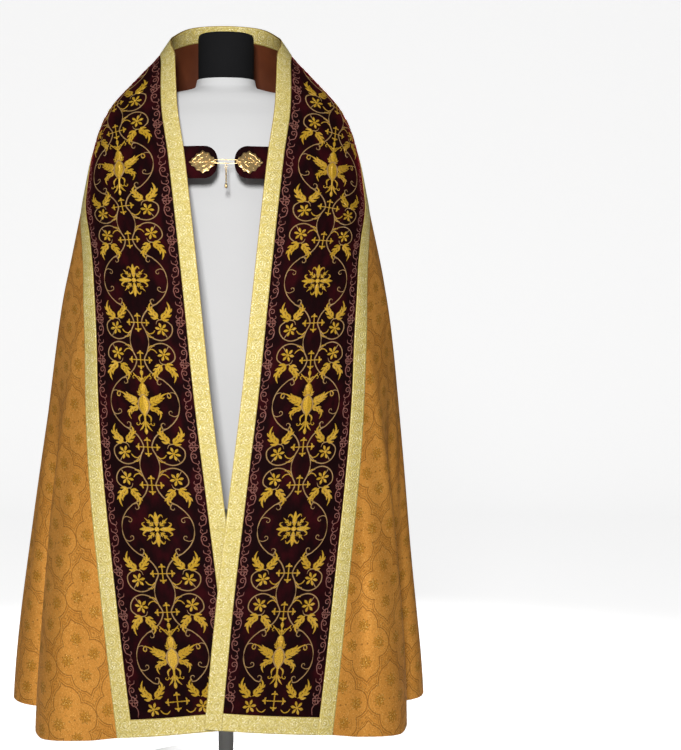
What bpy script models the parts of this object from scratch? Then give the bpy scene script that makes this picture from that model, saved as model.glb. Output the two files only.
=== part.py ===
"""A cope on a limbless dress form.

The cloth is one bell of revolution-like rings about the upright axis, ellipses whose half width and
half depths change with height, with upright folds pushed into it. Every piece of the cope lies on that
bell: it is given as angles and heights on it, and lifted off it along its normals.

Frame: metres, Z up, the front faces -Y, the wearer's right is at -X, and the base stands on z = 0.
Angles are degrees from centre back, growing towards +X, so that the front centre is 180.
"""
import bpy
import bmesh
import numpy as np

# ---- driving sizes, metres and degrees --------------------------------------------------------------
BAND_BRAID = 0.034            # width of the braid along both edges of a band
SEAM_GAP = 0.0003             # air between pieces that meet
CLOTH_WALL = 0.0018           # velvet or brocade with its interlining
BRAID_WALL = 0.0010
HEM_INNER, HEM_OUTER = 0.143, 0.120   # height of the band's foot at its inner and outer edge
COLLAR_CORNER, COLLAR_BACK = 1.585, 1.605
LEVEL_TOP = 1.10              # below this height the band's cross lines are level
YOKE_ANGLE = 84.0             # where the seam of side and back panel meets the band
SEAM_ANGLE = 63.5             # where it meets the hem
PANEL_TOP = 1.36              # height that a panel's rows are counted up to
LAP = 0.009                   # the wearer's right band lies this far behind the left one
LEFT_SLACK = 0.026            # the wearer's left side hangs this much narrower at the hem

# (height, size): half width, half depth in front, half depth behind, half opening in front
SIDE = [(0.10, 0.438), (0.165, 0.436), (0.53, 0.404), (0.77, 0.377), (1.0, 0.347), (1.10, 0.327),
        (1.235, 0.300), (1.30, 0.287), (1.36, 0.271), (1.412, 0.246), (1.475, 0.190), (1.536, 0.134),
        (1.585, 0.107), (1.61, 0.103)]
FRONT = [(0.10, 0.325), (0.53, 0.297), (0.80, 0.275), (1.0, 0.252), (1.2, 0.208), (1.30, 0.175),
         (1.42, 0.125), (1.51, 0.088), (1.585, 0.066), (1.61, 0.062)]
BACK = [(0.10, 0.330), (0.53, 0.290), (0.80, 0.262), (1.0, 0.236), (1.10, 0.220), (1.25, 0.192),
        (1.35, 0.166), (1.42, 0.142), (1.51, 0.108), (1.585, 0.082), (1.61, 0.074)]
OPENING = [(0.12, -0.045), (0.40, -0.018), (0.60, 0.006), (0.80, 0.031), (1.0, 0.052), (1.2, 0.074),
           (1.30, 0.086), (1.42, 0.1025), (1.51, 0.106), (1.585, 0.1045)]
# (angle, height) of the bands' outer edge, from centre back over the shoulder to the front hem
OUTER_EDGE = [(0, 1.348), (40, 1.347), (65, 1.344), (76, 1.335), (84, 1.305), (90, 1.255), (93.5, 1.21),
              (104.6, 1.13), (112, 1.05), (118, 0.93), (122.2, 0.80), (130, 0.55), (142.5, HEM_OUTER)]
# (angle, height) of the hem
HEM = [(0, 0.130), (12, 0.124), (24, 0.132), (40, 0.118), (50, 0.116), (63, 0.148), (88, 0.158),
       (104, 0.142), (120, 0.106), (132, 0.110), (142.5, HEM_OUTER), (180, 0.142), (190, HEM_INNER)]
# (angle, depth, half width in degrees): troughs that fold in, and soft swells between them
TROUGHS = [(104, 0.095, 5.0), (63, 0.085, 4.5)]
SWELLS = [(121, 0.026, 9), (88, 0.016, 9), (48, 0.014, 9), (22, -0.012, 8), (0, 0.008, 9)]
FOLD_TOP, FOLD_FULL = 0.98, 0.12      # heights where a fold starts and where it is deepest
TURN_IN = 2.2                         # degrees that a fold's lips close over its trough

# ---- more sizes ---------------------------------------------------------------------------------------
CENTRE_ANGLE = 0.1            # the bands stop this far from centre back
SEAM_TURN = 0.05              # and the panels this far from their seam
LEVEL_SHARE = 0.60            # share of a band's length that lies below LEVEL_TOP
# columns across a band: (part of its width, metres)
MID_PLACES = [(0.23, 0), (0.36, 0), (0.5, 0), (0.64, 0), (0.77, 0)]
COLLAR_SHARE = 0.86           # the trim inside the neck starts here
BAND_LENGTH = 1.62            # length that the first station, at the hem braid's top, is counted on
LINE_STEPS = 33               # points along a cross line
# gaps between the columns of a side panel, in degrees: out in the open and how much less in a fold
COLUMN_GAP, FOLD_GAP, FOLD_NEAR = 4.6, 2.7, 10.0
# where a fold's shift fades, as a part of its half width, and how its depth grows downwards
SHIFT_FADE, DEPTH_GROWTH = 1.6, 1.3
# hood: (height, angle of its side edge)
HOOD_SIDE = [(0.87, 56.5), (0.95, 58.0), (1.0, 59.8), (1.1, 63.3), (1.2, 68.0), (1.30, 73.5), (1.345, 75.0)]
HOOD_FOOT, HOOD_CORNER, HOOD_POWER = 0.866, 0.15, 3.2
HOOD_TUCK = 0.0008
HOOD_WALL = 0.0022
HOOD_REST, HOOD_STAND = 0.0016, 0.009
HOOD_BRAID, HOOD_BRAID_LIFT = 0.018, 0.0008
FRINGE_LENGTH, FRINGE_SPREAD = 0.050, 0.55
FRINGE_GAP, FRINGE_WALL = 0.0006, 0.003
# fastening
MORSE_HEIGHT, MORSE_FRONT, MORSE_LEAN = 1.279, -0.1805, 0.34
TAB_START, TAB_END, TAB_NOSE, TAB_HALF = 0.094, 0.0175, 0.028, 0.0345
TAB_RECEDE, TAB_WALL = 0.16, 0.0028
CLASP_MIDDLE, CLASP_LENGTH, CLASP_HEIGHT = 0.048, 0.058, 0.046
CLASP_WALL, CLASP_SCALLOP, CLASP_POINT = 0.0020, 0.035, 0.18
CLASP_SCALLOPS, CLASP_WAIST = 14, 0.14
STUD_AT, STUD_RADIUS, STUD_LONG = 0.0222, 0.0014, 0.0066
LINK_FRONT, LINK_HALF_HEIGHT, LINK_WIRE, LINK_STRAIGHT = -0.1850, 0.0036, 0.0008, 0.0215
RING_MAJOR, RING_WIRE = 0.0036, 0.0006
LOOP_MAJOR, LOOP_WIRE = 0.0022, 0.0005
# pendant: (distance below the loop, radius), with seven equal beads and a drop
BEAD_START, BEAD_PITCH, BEAD = 0.0012, 0.0042, (0.0006, 0.0015, 0.0018, 0.0015)
BEADS = [(-0.0004, 0.0004), (0.0004, 0.0008)]
BEADS += [(BEAD_START + BEAD_PITCH * (i + k / 4), BEAD[k]) for i in range(7) for k in range(4)]
BEADS += [(0.0306, 0.0006), (0.0325, 0.0018), (0.0365, 0.0029), (0.0405, 0.0027), (0.0430, 0.0012)]
# dress form: (height, half width, depth in front, depth behind)
TORSO = [(0.56, 0.118, 0.088, 0.086), (0.70, 0.142, 0.102, 0.104), (0.85, 0.158, 0.108, 0.120),
         (1.0, 0.150, 0.102, 0.104), (1.10, 0.158, 0.106, 0.104), (1.20, 0.184, 0.118, 0.112),
         (1.28, 0.212, 0.134, 0.112), (1.34, 0.236, 0.118, 0.106), (1.385, 0.230, 0.098, 0.092),
         (1.415, 0.205, 0.080, 0.080), (1.437, 0.150, 0.068, 0.070), (1.448, 0.090, 0.060, 0.062),
         (1.456, 0.066, 0.056, 0.058), (1.472, 0.062, 0.054, 0.052)]
TORSO_LEVELS = [0.56, 0.70, 0.85, 1.0, 1.10, 1.20, 1.28, 1.34, 1.385, 1.415, 1.437, 1.448, 1.456, 1.472]
NECK_WIDE, NECK_FRONT, NECK_BACK = 0.0595, 0.052, 0.050
NECK = [(1.4723, 0.985), (1.50, 1.0), (1.560, 1.0), (1.568, 0.97), (1.571, 0.90)]
TORSO_POWER = 2.3              # squareness of the torso's rings, 2 for an ellipse
POLE_RADIUS, POLE_ENDS = 0.016, (0.0183, 0.5597)
BASE = [(0.0, 0.196), (0.004, 0.200), (0.012, 0.200), (0.018, 0.190)]


def smooth(x, low, high):
    """0 below low, 1 above high, and an easy slope between."""
    t = np.clip((x - low) / (high - low), 0, 1)
    return t * t * (3 - 2 * t)


def through(x, knots):
    """A curve with no overshoot through (x, y) knots, cubic between them."""
    k = np.array(sorted(knots), float)
    kx, ky = k[:, 0], k[:, 1]
    step = np.diff(kx)
    rise = np.diff(ky) / step
    slope = np.zeros(len(kx))
    slope[0], slope[-1] = rise[0], rise[-1]
    before, after = 2 * step[1:] + step[:-1], step[1:] + 2 * step[:-1]
    turning = rise[:-1] * rise[1:] <= 0
    safe = np.where(turning, 1, rise[:-1]), np.where(turning, 1, rise[1:])
    slope[1:-1] = np.where(turning, 0, (before + after) / (before / safe[0] + after / safe[1]))
    x = np.clip(np.asarray(x, float), kx[0], kx[-1])
    i = np.clip(np.searchsorted(kx, x) - 1, 0, len(step) - 1)
    t = (x - kx[i]) / step[i]
    ends = (1 + 2 * t) * (1 - t) ** 2 * ky[i] + t * t * (3 - 2 * t) * ky[i + 1]
    return ends + step[i] * (t * (1 - t) ** 2 * slope[i] + t * t * (t - 1) * slope[i + 1])


def bell(angle, height):
    """Points of the cloth's outer face: an ellipse ring at each height, with folds and the front lap."""
    angle, height = np.broadcast_arrays(np.asarray(angle, float), np.asarray(height, float))
    turn = np.radians(angle)
    left = angle > 0
    wide = through(height, SIDE) - LEFT_SLACK * left * smooth(-height, -1.0, -0.30)
    deep = np.where(np.cos(turn) > 0, through(height, BACK), through(height, FRONT))
    reach = 1 / np.sqrt((np.sin(turn) / wide) ** 2 + (np.cos(turn) / deep) ** 2)
    away = np.abs(angle)
    grown = smooth(FOLD_TOP - height, 0, FOLD_TOP - FOLD_FULL)
    shift = np.zeros_like(reach)
    for centre, depth, half in TROUGHS:
        off = (away - centre) / half
        reach = reach - depth * grown ** DEPTH_GROWTH * np.exp(-off ** 2)
        shift = shift - TURN_IN * grown ** DEPTH_GROWTH * off * np.exp(-(off / SHIFT_FADE) ** 2)
    for centre, depth, half in SWELLS:
        reach = reach + depth * grown * np.exp(-((away - centre) / half) ** 2)
    turn = np.radians(angle + np.sign(angle) * shift)
    x = reach * np.sin(turn)
    under = (angle < -90) * smooth(-height, -0.80, -0.50) * smooth(x, -0.14, -0.05)
    return np.stack([x, reach * np.cos(turn) + LAP * under, height + 0 * x], -1)


def lifted(angle, height, lift):
    """Points of the bell moved out along its normals."""
    angle, height = np.asarray(angle, float), np.asarray(height, float)
    d_angle, d_height = 0.05, 0.0005
    around = bell(angle + d_angle, height) - bell(angle - d_angle, height)
    up = bell(angle, height + d_height) - bell(angle, height - d_height)
    out = np.cross(up, around)
    out /= np.linalg.norm(out, axis=-1, keepdims=True)
    return bell(angle, height) + out * np.asarray(lift)[..., None]


def on_bell(points, near):
    """Angles and heights of points seen from the axis, where no fold moves them sideways."""
    angle = np.degrees(np.arctan2(points[..., 0], points[..., 1]))
    return angle + 360 * np.round((near - angle) / 360), points[..., 2]


def run(points):
    """Length along a row of points, from 0 at its start."""
    steps = np.linalg.norm(np.diff(points, axis=0), axis=-1)
    return np.concatenate([[0], np.cumsum(steps)])


# ---- the bands: a strip between an inner and an outer edge --------------------------------------------
def inner_edge():
    """Angle and height from the front hem up the opening and round the neck to centre back."""
    height = np.linspace(HEM_INNER, COLLAR_CORNER, 240)
    half = through(height, OPENING)
    deep = through(height, FRONT) * np.sqrt(1 - (half / through(height, SIDE)) ** 2)
    angle = 180 - np.degrees(np.arctan2(half, deep))
    part = np.linspace(0, 1, 60)[1:]
    back = angle[-1] * (1 - part) + CENTRE_ANGLE * part
    rise = COLLAR_CORNER + (COLLAR_BACK - COLLAR_CORNER) * np.sin(np.pi / 2 * part)
    return np.r_[angle, back], np.r_[height, rise]


def outer_edge():
    """Angle and height from the front hem up and over the shoulder to centre back."""
    knots = np.array(OUTER_EDGE[::-1], float)
    knots[-1, 0] = CENTRE_ANGLE
    length = run(bell(knots[:, 0], knots[:, 1]))
    at = np.linspace(0, length[-1], 300)
    return through(at, np.c_[length, knots[:, 0]].tolist()), through(at, np.c_[length, knots[:, 1]].tolist())


def edge_at(edge, share):
    """Angle and height at shares of a band's length; equal shares are level with each other low down."""
    angle, height = edge
    length = run(bell(angle, height))
    straight = length[np.argmax(height >= LEVEL_TOP)]
    at = through(share, [(0, 0), (LEVEL_SHARE, straight), (1, length[-1])])
    return np.interp(at, length, angle), np.interp(at, length, height)


def share_of(angle):
    """The share of a band's length where its outer edge passes an angle."""
    shares = np.linspace(LEVEL_SHARE, 1, 400)
    return np.interp(-np.asarray(angle, float), -edge_at(outer_edge(), shares)[0], shares)


def stations():
    """Shares of a band's length where its cross lines lie, hem first, and the number before the yoke."""
    front = [0, BAND_BRAID / BAND_LENGTH, 0.09, 0.17, 0.25, 0.33, 0.41, 0.49, 0.555, 0.61, 0.655, 0.69]
    front = front + list(np.linspace(0.69, share_of(YOKE_ANGLE), 4)[1:-1])
    centre = np.degrees(BAND_BRAID / 2 / through(OUTER_EDGE[0][1], BACK))
    back = share_of([YOKE_ANGLE, 81.5, 79, 76, 72, 66, 58, 48, 37, 26, 16, centre, CENTRE_ANGLE])
    return np.r_[front, back], len(front)


def cross_lines(side, share, places):
    """Angles and heights on a band: a row for each share, a column for each (part of width, metres)."""
    inner = edge_at(inner_edge(), share)
    outer = edge_at(outer_edge(), share)
    part = np.linspace(0, 1, LINE_STEPS)[:, None]
    start, end = bell(side * inner[0], inner[1]), bell(side * outer[0], outer[1])
    chord = start * (1 - part[..., None]) + end * part[..., None]
    angle, height = on_bell(chord, side * (inner[0] * (1 - part) + outer[0] * part))
    line = bell(angle, height)
    angles, heights = [], []
    for i in range(len(share)):
        length = run(line[:, i])
        at = [p * length[-1] + metres for p, metres in places]
        angles.append(np.interp(at, length, angle[:, i]))
        heights.append(np.interp(at, length, height[:, i]))
    return np.array(angles), np.array(heights)


# ---- making solids ------------------------------------------------------------------------------------
def material(name, color, roughness, metallic=0.0):
    mat = bpy.data.materials.new(name)
    mat.use_nodes = True
    shader = mat.node_tree.nodes["Principled BSDF"]
    shader.inputs["Base Color"].default_value = (*color, 1)
    shader.inputs["Roughness"].default_value = roughness
    shader.inputs["Metallic"].default_value = metallic
    return mat


def place(name, bm, mat, merge=1e-5):
    """Merge what coincides, point the faces out, and put the mesh into the scene."""
    bmesh.ops.remove_doubles(bm, verts=bm.verts, dist=merge)
    bmesh.ops.dissolve_degenerate(bm, dist=merge / 10, edges=bm.edges)
    bmesh.ops.triangulate(bm, faces=bm.faces)
    bmesh.ops.recalc_face_normals(bm, faces=bm.faces)
    mesh = bpy.data.meshes.new(name)
    bm.to_mesh(mesh)
    bm.free()
    mesh.materials.append(mat)
    obj = bpy.data.objects.new(name, mesh)
    bpy.context.scene.collection.objects.link(obj)
    return obj


def wall(name, outer, inner, mat):
    """A closed wall between two grids of points."""
    bm = bmesh.new()
    rows, columns = outer.shape[:2]
    grids = [[[bm.verts.new(p) for p in row] for row in grid] for grid in (outer, inner)]
    for grid in grids:
        for i in range(rows - 1):
            for j in range(columns - 1):
                bm.faces.new((grid[i][j], grid[i][j + 1], grid[i + 1][j + 1], grid[i + 1][j]))
    top, low = grids
    ring = [(0, j) for j in range(columns)] + [(i, columns - 1) for i in range(1, rows)]
    ring += [(rows - 1, j) for j in range(columns - 2, -1, -1)] + [(i, 0) for i in range(rows - 2, 0, -1)]
    for (i, j), (k, m) in zip(ring, ring[1:] + ring[:1]):
        bm.faces.new((top[i][j], low[i][j], low[k][m], top[k][m]))
    return place(name, bm, mat)


def cloth(name, grid, out, thick, mat):
    """A wall on the bell: its outer face lifted by out, its inner face thick below that."""
    angle, height = grid
    out = np.broadcast_to(out, angle.shape)
    return wall(name, lifted(angle, height, out), lifted(angle, height, out - thick), mat)


def lofted(name, rings, mat):
    """A solid through closed rings of equal count, with flat ends."""
    bm = bmesh.new()
    loops = [[bm.verts.new(p) for p in ring] for ring in rings]
    for low, high in zip(loops, loops[1:]):
        for i in range(len(low)):
            k = (i + 1) % len(low)
            bm.faces.new((low[i], low[k], high[k], high[i]))
    bm.faces.new(loops[0][::-1])
    bm.faces.new(loops[-1])
    return place(name, bm, mat)


def torus_rings(centre, axis, major, minor, around=14, section=8, straight=0.0):
    """Section rings of a torus about X, Y or Z; straight parts it into a long link along X."""
    turn = np.linspace(0, 2 * np.pi, around, endpoint=False) + np.pi / around
    spin = np.linspace(0, 2 * np.pi, section, endpoint=False)
    first, second = [np.roll(np.eye(3), axis, axis=1)[k] for k in (1, 2)]
    normal = np.eye(3)[axis]
    rings = []
    for a in turn:
        out = first * np.cos(a) + second * np.sin(a)
        middle = np.array(centre) + out * major + np.array([np.sign(out[0]) * straight, 0, 0])
        rings.append([middle + minor * (np.cos(s) * out + np.sin(s) * normal) for s in spin])
    return rings


def closed_tube(bm, rings):
    loops = [[bm.verts.new(p) for p in ring] for ring in rings]
    for low, high in zip(loops, loops[1:] + loops[:1]):
        for i in range(len(low)):
            k = (i + 1) % len(low)
            bm.faces.new((low[i], low[k], high[k], high[i]))


def union(obj, tool):
    """Join a second solid into the first."""
    cut = obj.modifiers.new("join", "BOOLEAN")
    cut.operation = "UNION"
    cut.object = tool
    tool.hide_render = True
    tool.display_type = "WIRE"
    return obj


# ---- the body of the cope -----------------------------------------------------------------------------
def hem(angle):
    return through(np.abs(angle), HEM)


def panel_height(angle, level):
    return hem(angle) + level * (PANEL_TOP - hem(angle))


def panel_level(angle, height):
    return (height - hem(angle)) / (PANEL_TOP - hem(angle))


def seam_angle(level, top):
    return SEAM_ANGLE + (YOKE_ANGLE - SEAM_ANGLE) * smooth(level, 0.60, top)


def panel_columns():
    """Angles from the front to the seam, closer together where the cloth folds."""
    angles = [OUTER_EDGE[-1][0]]
    while angles[-1] > SEAM_ANGLE:
        near = sum(np.exp(-((angles[-1] - trough[0]) / FOLD_NEAR) ** 2) for trough in TROUGHS)
        angles.append(angles[-1] - COLUMN_GAP + FOLD_GAP * near)
    return np.array(angles[:-1])


def side_panel(name, side, mat):
    """From under the outer braid round to the seam: each row starts at a cross line of the band."""
    share, yoke = stations()
    share = share[:yoke + 1]
    angle, height = cross_lines(side, share, [(1, SEAM_GAP / 2 - BAND_BRAID / 2), (1, 0)])
    level = panel_level(angle[:, 1], height[:, 1])
    level[0] = 0
    seam = seam_angle(level, level[-1]) + SEAM_TURN
    seam[-1] = abs(angle[-1, 1])
    columns = np.clip(panel_columns()[None], seam[:, None], np.abs(angle[:, 1:2]))
    columns = side * np.c_[columns, seam]
    heights = panel_height(columns, level[:, None])
    heights[-1] = height[-1, 1]
    return cloth(name, (np.c_[angle, columns], np.c_[height, heights]), 0.0, CLOTH_WALL, mat)


def back_panel(name, mat):
    """From the yoke's lower braid down to the hem, between the two seams."""
    share, yoke = stations()
    places = [(1, SEAM_GAP / 2 - BAND_BRAID / 2), (1, 0)]
    front_angle, front_height = cross_lines(1, share[:yoke + 1], places[1:])
    level = panel_level(front_angle[:, 0], front_height[:, 0])
    level[0] = 0
    top = [cross_lines(side, share[yoke:], places) for side in (-1, 1)]
    angle = np.r_[top[0][0][:-1], top[1][0][:-1][::-1]].T
    height = np.r_[top[0][1][:-1], top[1][1][:-1][::-1]].T
    across = angle[1] / np.abs(angle[1]).max()
    reach = panel_level(angle[1], height[1]) / level[-1]
    seam = seam_angle(level, level[-1]) - SEAM_TURN
    down = across * seam[:-1][::-1, None]
    heights = panel_height(down, level[:-1][::-1, None] * reach)
    angle[:, 0] += SEAM_TURN
    angle[:, -1] -= SEAM_TURN
    return cloth(name, (np.r_[angle, down], np.r_[height, heights]), 0.0, CLOTH_WALL, mat)


def orphrey(name, side, mat):
    places = [(0, 0), (0, BAND_BRAID), *MID_PLACES, (1, -BAND_BRAID)]
    places.append((1, -BAND_BRAID / 2 - SEAM_GAP / 2))
    return cloth(name, cross_lines(side, stations()[0], places), 0.0, CLOTH_WALL, mat)


def edge_braid(name, side, places, mat):
    return cloth(name, cross_lines(side, stations()[0], places), SEAM_GAP + BRAID_WALL, BRAID_WALL, mat)


def hem_braid(name, side, mat):
    places = [(0, BAND_BRAID + SEAM_GAP), *MID_PLACES, (1, -BAND_BRAID - SEAM_GAP)]
    grid = cross_lines(side, stations()[0][:2], places)
    return cloth(name, grid, SEAM_GAP + BRAID_WALL, BRAID_WALL, mat)


def round_the_neck(share, places):
    """Cross lines of both bands in one grid, through centre back."""
    grids = [cross_lines(side, share, places) for side in (-1, 1)]
    return [np.r_[left, right[::-1]] for left, right in zip(*grids)]


def centre_back_braid(mat):
    places = [(0, BAND_BRAID + SEAM_GAP), *MID_PLACES, (1, -BAND_BRAID - SEAM_GAP)]
    grid = round_the_neck(stations()[0][-2:], places)
    return cloth("centre_back_braid", grid, SEAM_GAP + BRAID_WALL, BRAID_WALL, mat)


def neck_trim(name, places, mat):
    """A strip on the inside of the neck, from one collar corner round to the other."""
    share = stations()[0]
    grid = round_the_neck(share[share > COLLAR_SHARE], places)
    return cloth(name, grid, -CLOTH_WALL - SEAM_GAP, BRAID_WALL, mat)


# ---- the hood -----------------------------------------------------------------------------------------
def hood_side(height):
    """Angle of the hood's side edge at a height."""
    return through(height, HOOD_SIDE)


def hood_top(angle):
    """Height of the hood's top edge, just under the yoke's lower braid."""
    edge = outer_edge()
    return np.interp(-np.abs(angle), -edge[0], edge[1]) - HOOD_TUCK


def hood_points(across, down):
    """Angle, height and lift of the hood's inner face; across is -1 to 1, down is 0 to 1."""
    foot = HOOD_FOOT + HOOD_CORNER * (1 - (1 - np.abs(across) ** HOOD_POWER) ** (1 / HOOD_POWER))
    top = hood_top(across * hood_side(PANEL_TOP))
    height = top + down * (foot - top)
    lift = HOOD_REST + HOOD_STAND * smooth(down, 0, 0.4)
    return across * hood_side(height), height, lift + 0 * across


def hood(mat):
    across = np.sin(np.linspace(-1, 1, 19) * np.pi / 2)[None]
    down = np.linspace(0, 1, 11)[:, None]
    angle, height, lift = hood_points(across, down)
    return wall("hood", lifted(angle, height, lift + HOOD_WALL), lifted(angle, height, lift), mat)


def hood_outline(count=15):
    """Down one side, along the foot and up the other, as angles, heights and lifts."""
    down = np.linspace(0, 1, count)[:-1]
    across = np.sin(np.linspace(-1, 1, 19) * np.pi / 2)
    path = [np.r_[-np.ones(len(down)), across, np.ones(len(down))], np.r_[down, np.ones(19), down[::-1]]]
    return hood_points(*path)


def beside(angle, height, distance):
    """The outline moved sideways on the cloth, outwards from the hood for a positive distance."""
    points = bell(angle, height)
    along = np.gradient(points, axis=0)
    out = lifted(angle, height, 1.0) - points
    sideways = np.cross(out, along)
    sideways /= np.linalg.norm(sideways, axis=-1, keepdims=True)
    return sideways * np.asarray(distance)[..., None]


def hood_braid(mat):
    angle, height, lift = hood_outline()
    rows = []
    for distance in (-HOOD_BRAID, -SEAM_GAP):
        rows.append(on_bell(bell(angle, height) + beside(angle, height, distance + 0 * angle), angle))
    grid = [np.array([row[k] for row in rows]) for k in (0, 1)]
    return cloth("hood_braid", grid, lift + HOOD_WALL + HOOD_BRAID_LIFT + BRAID_WALL, BRAID_WALL, mat)


def hood_fringe(mat):
    """Bullion hanging from the edge: straight down at the foot, out and down along the sides."""
    angle, height, lift = hood_outline()
    out = beside(angle, height, np.ones(len(angle)))
    fall = out * FRINGE_SPREAD + np.array([0, 0, -1])
    fall /= np.linalg.norm(fall, axis=-1, keepdims=True)
    start = bell(angle, height) + out * FRINGE_GAP
    rows = [on_bell(start + fall * part * FRINGE_LENGTH, angle) for part in (0, 0.5, 1)]
    grid = [np.array([row[k] for row in rows]) for k in (0, 1)]
    return cloth("hood_fringe", grid, lift + HOOD_WALL + FRINGE_WALL / 2, FRINGE_WALL, mat)


# ---- the fastening at the chest -------------------------------------------------------------------------
def tab_front(x, z):
    """Depth of a tab's front face: flat, receding towards the band and leaning with the chest."""
    return MORSE_FRONT + (np.abs(x) - TAB_END) * TAB_RECEDE + (z - MORSE_HEIGHT) * MORSE_LEAN


def plate(name, outline, front, thick, mat):
    """A flat plate with an (x, z) outline; front gives its face's depth at each x and z."""
    x, z = np.array(outline).T
    face = np.c_[x, front(x, z), z]
    return lofted(name, [face, face + [0, thick, 0]], mat)


def morse_tab(name, side, mat):
    turn = np.linspace(-np.pi / 2, np.pi / 2, 13)
    nose = TAB_END + TAB_NOSE * (1 - np.cos(turn)), TAB_HALF * np.sign(turn) * np.abs(np.sin(turn)) ** 0.8
    x = np.r_[TAB_START, nose[0], TAB_START]
    z = MORSE_HEIGHT + np.r_[-TAB_HALF, nose[1], TAB_HALF]
    return plate(name, np.c_[side * x, z], tab_front, TAB_WALL, mat)


def clasp(name, side, mat):
    """A leaf with a point towards the band and a scalloped rim, with a stud at its inner end."""
    turn = np.linspace(0, 2 * np.pi, 4 * CLASP_SCALLOPS, endpoint=False)
    leaf = 1 + CLASP_SCALLOP * np.cos(CLASP_SCALLOPS * turn)
    x = CLASP_MIDDLE + CLASP_LENGTH / 2 * np.cos(turn) * leaf
    waist = 1 - CLASP_POINT * np.cos(turn) - CLASP_WAIST * np.cos(2 * turn)
    z = CLASP_HEIGHT / 2 * np.sin(turn) * leaf * waist
    body = plate(name, np.c_[side * x, MORSE_HEIGHT + z],
                 lambda x, z: tab_front(x, z) - SEAM_GAP - CLASP_WALL, CLASP_WALL, mat)
    stud_root = tab_front(STUD_AT, MORSE_HEIGHT) - SEAM_GAP - CLASP_WALL / 2
    centre = [side * STUD_AT, stud_root, MORSE_HEIGHT]
    spin = np.linspace(0, 2 * np.pi, 10, endpoint=False)
    ring = np.c_[STUD_RADIUS * np.cos(spin), 0 * spin, STUD_RADIUS * np.sin(spin)] + centre
    stud = lofted(name + "_stud", [ring, ring - [0, STUD_LONG, 0]], mat)
    return union(body, stud)


def link(mat):
    """A long wire link that lies over both studs."""
    bm = bmesh.new()
    centre = (0, LINK_FRONT, MORSE_HEIGHT)
    closed_tube(bm, torus_rings(centre, 1, LINK_HALF_HEIGHT, LINK_WIRE, 12, 6, LINK_STRAIGHT))
    return place("clasp_hook", bm, mat)


def ring_centre():
    """The small ring hangs inside the link's lower wire with a little air."""
    hang = RING_MAJOR - RING_WIRE - LINK_WIRE - SEAM_GAP
    return np.array([0, LINK_FRONT, MORSE_HEIGHT - LINK_HALF_HEIGHT - hang])


def pendant_ring(mat):
    bm = bmesh.new()
    closed_tube(bm, torus_rings(ring_centre(), 0, RING_MAJOR, RING_WIRE, 12, 6))
    return place("pendant_ring", bm, mat)


def pendant(mat):
    """A loop round the ring's foot, and below it beads and a drop turned about the upright axis."""
    foot = ring_centre() - [0, 0, RING_MAJOR]
    loop_centre = foot - [0, 0, LOOP_MAJOR - LOOP_WIRE - RING_WIRE - SEAM_GAP]
    bm = bmesh.new()
    closed_tube(bm, torus_rings(loop_centre, 1, LOOP_MAJOR, LOOP_WIRE, 12, 6))
    loop = place("pendant", bm, mat)
    spin = np.linspace(0, 2 * np.pi, 10, endpoint=False)
    top = loop_centre - [0, 0, LOOP_MAJOR]
    rings = []
    for down, radius in BEADS:
        rings.append(np.c_[radius * np.cos(spin), radius * np.sin(spin), 0 * spin - down] + top)
    return union(loop, lofted("pendant_beads", rings, mat))


# ---- the dress form -------------------------------------------------------------------------------------
def oval(height, half_width, front, back, count=24, power=2.0):
    """A ring whose depth differs in front and behind."""
    turn = np.linspace(0, 2 * np.pi, count, endpoint=False)
    cos, sin = np.cos(turn), np.sin(turn)
    depth = np.where(sin < 0, front, back)
    squash = (np.abs(cos) ** power + np.abs(sin) ** power) ** (-1 / power)
    return np.c_[half_width * cos * squash, depth * sin * squash, height + 0 * turn]


def dress_form(cover, felt, metal):
    sizes = [[(ring[0], ring[i]) for ring in TORSO] for i in (1, 2, 3)]
    torso = [oval(z, *(through(z, size) for size in sizes), power=TORSO_POWER) for z in TORSO_LEVELS]
    lofted("form_torso", torso, cover)
    neck = [oval(z, NECK_WIDE * s, NECK_FRONT * s, NECK_BACK * s, 20) for z, s in NECK]
    lofted("form_neck", neck, felt)
    pole = [oval(z, POLE_RADIUS, POLE_RADIUS, POLE_RADIUS, 12) for z in POLE_ENDS]
    lofted("form_pole", pole, metal)
    base = [oval(z, r, r, r, 32) for z, r in BASE]
    lofted("form_base", base, metal)


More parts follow.
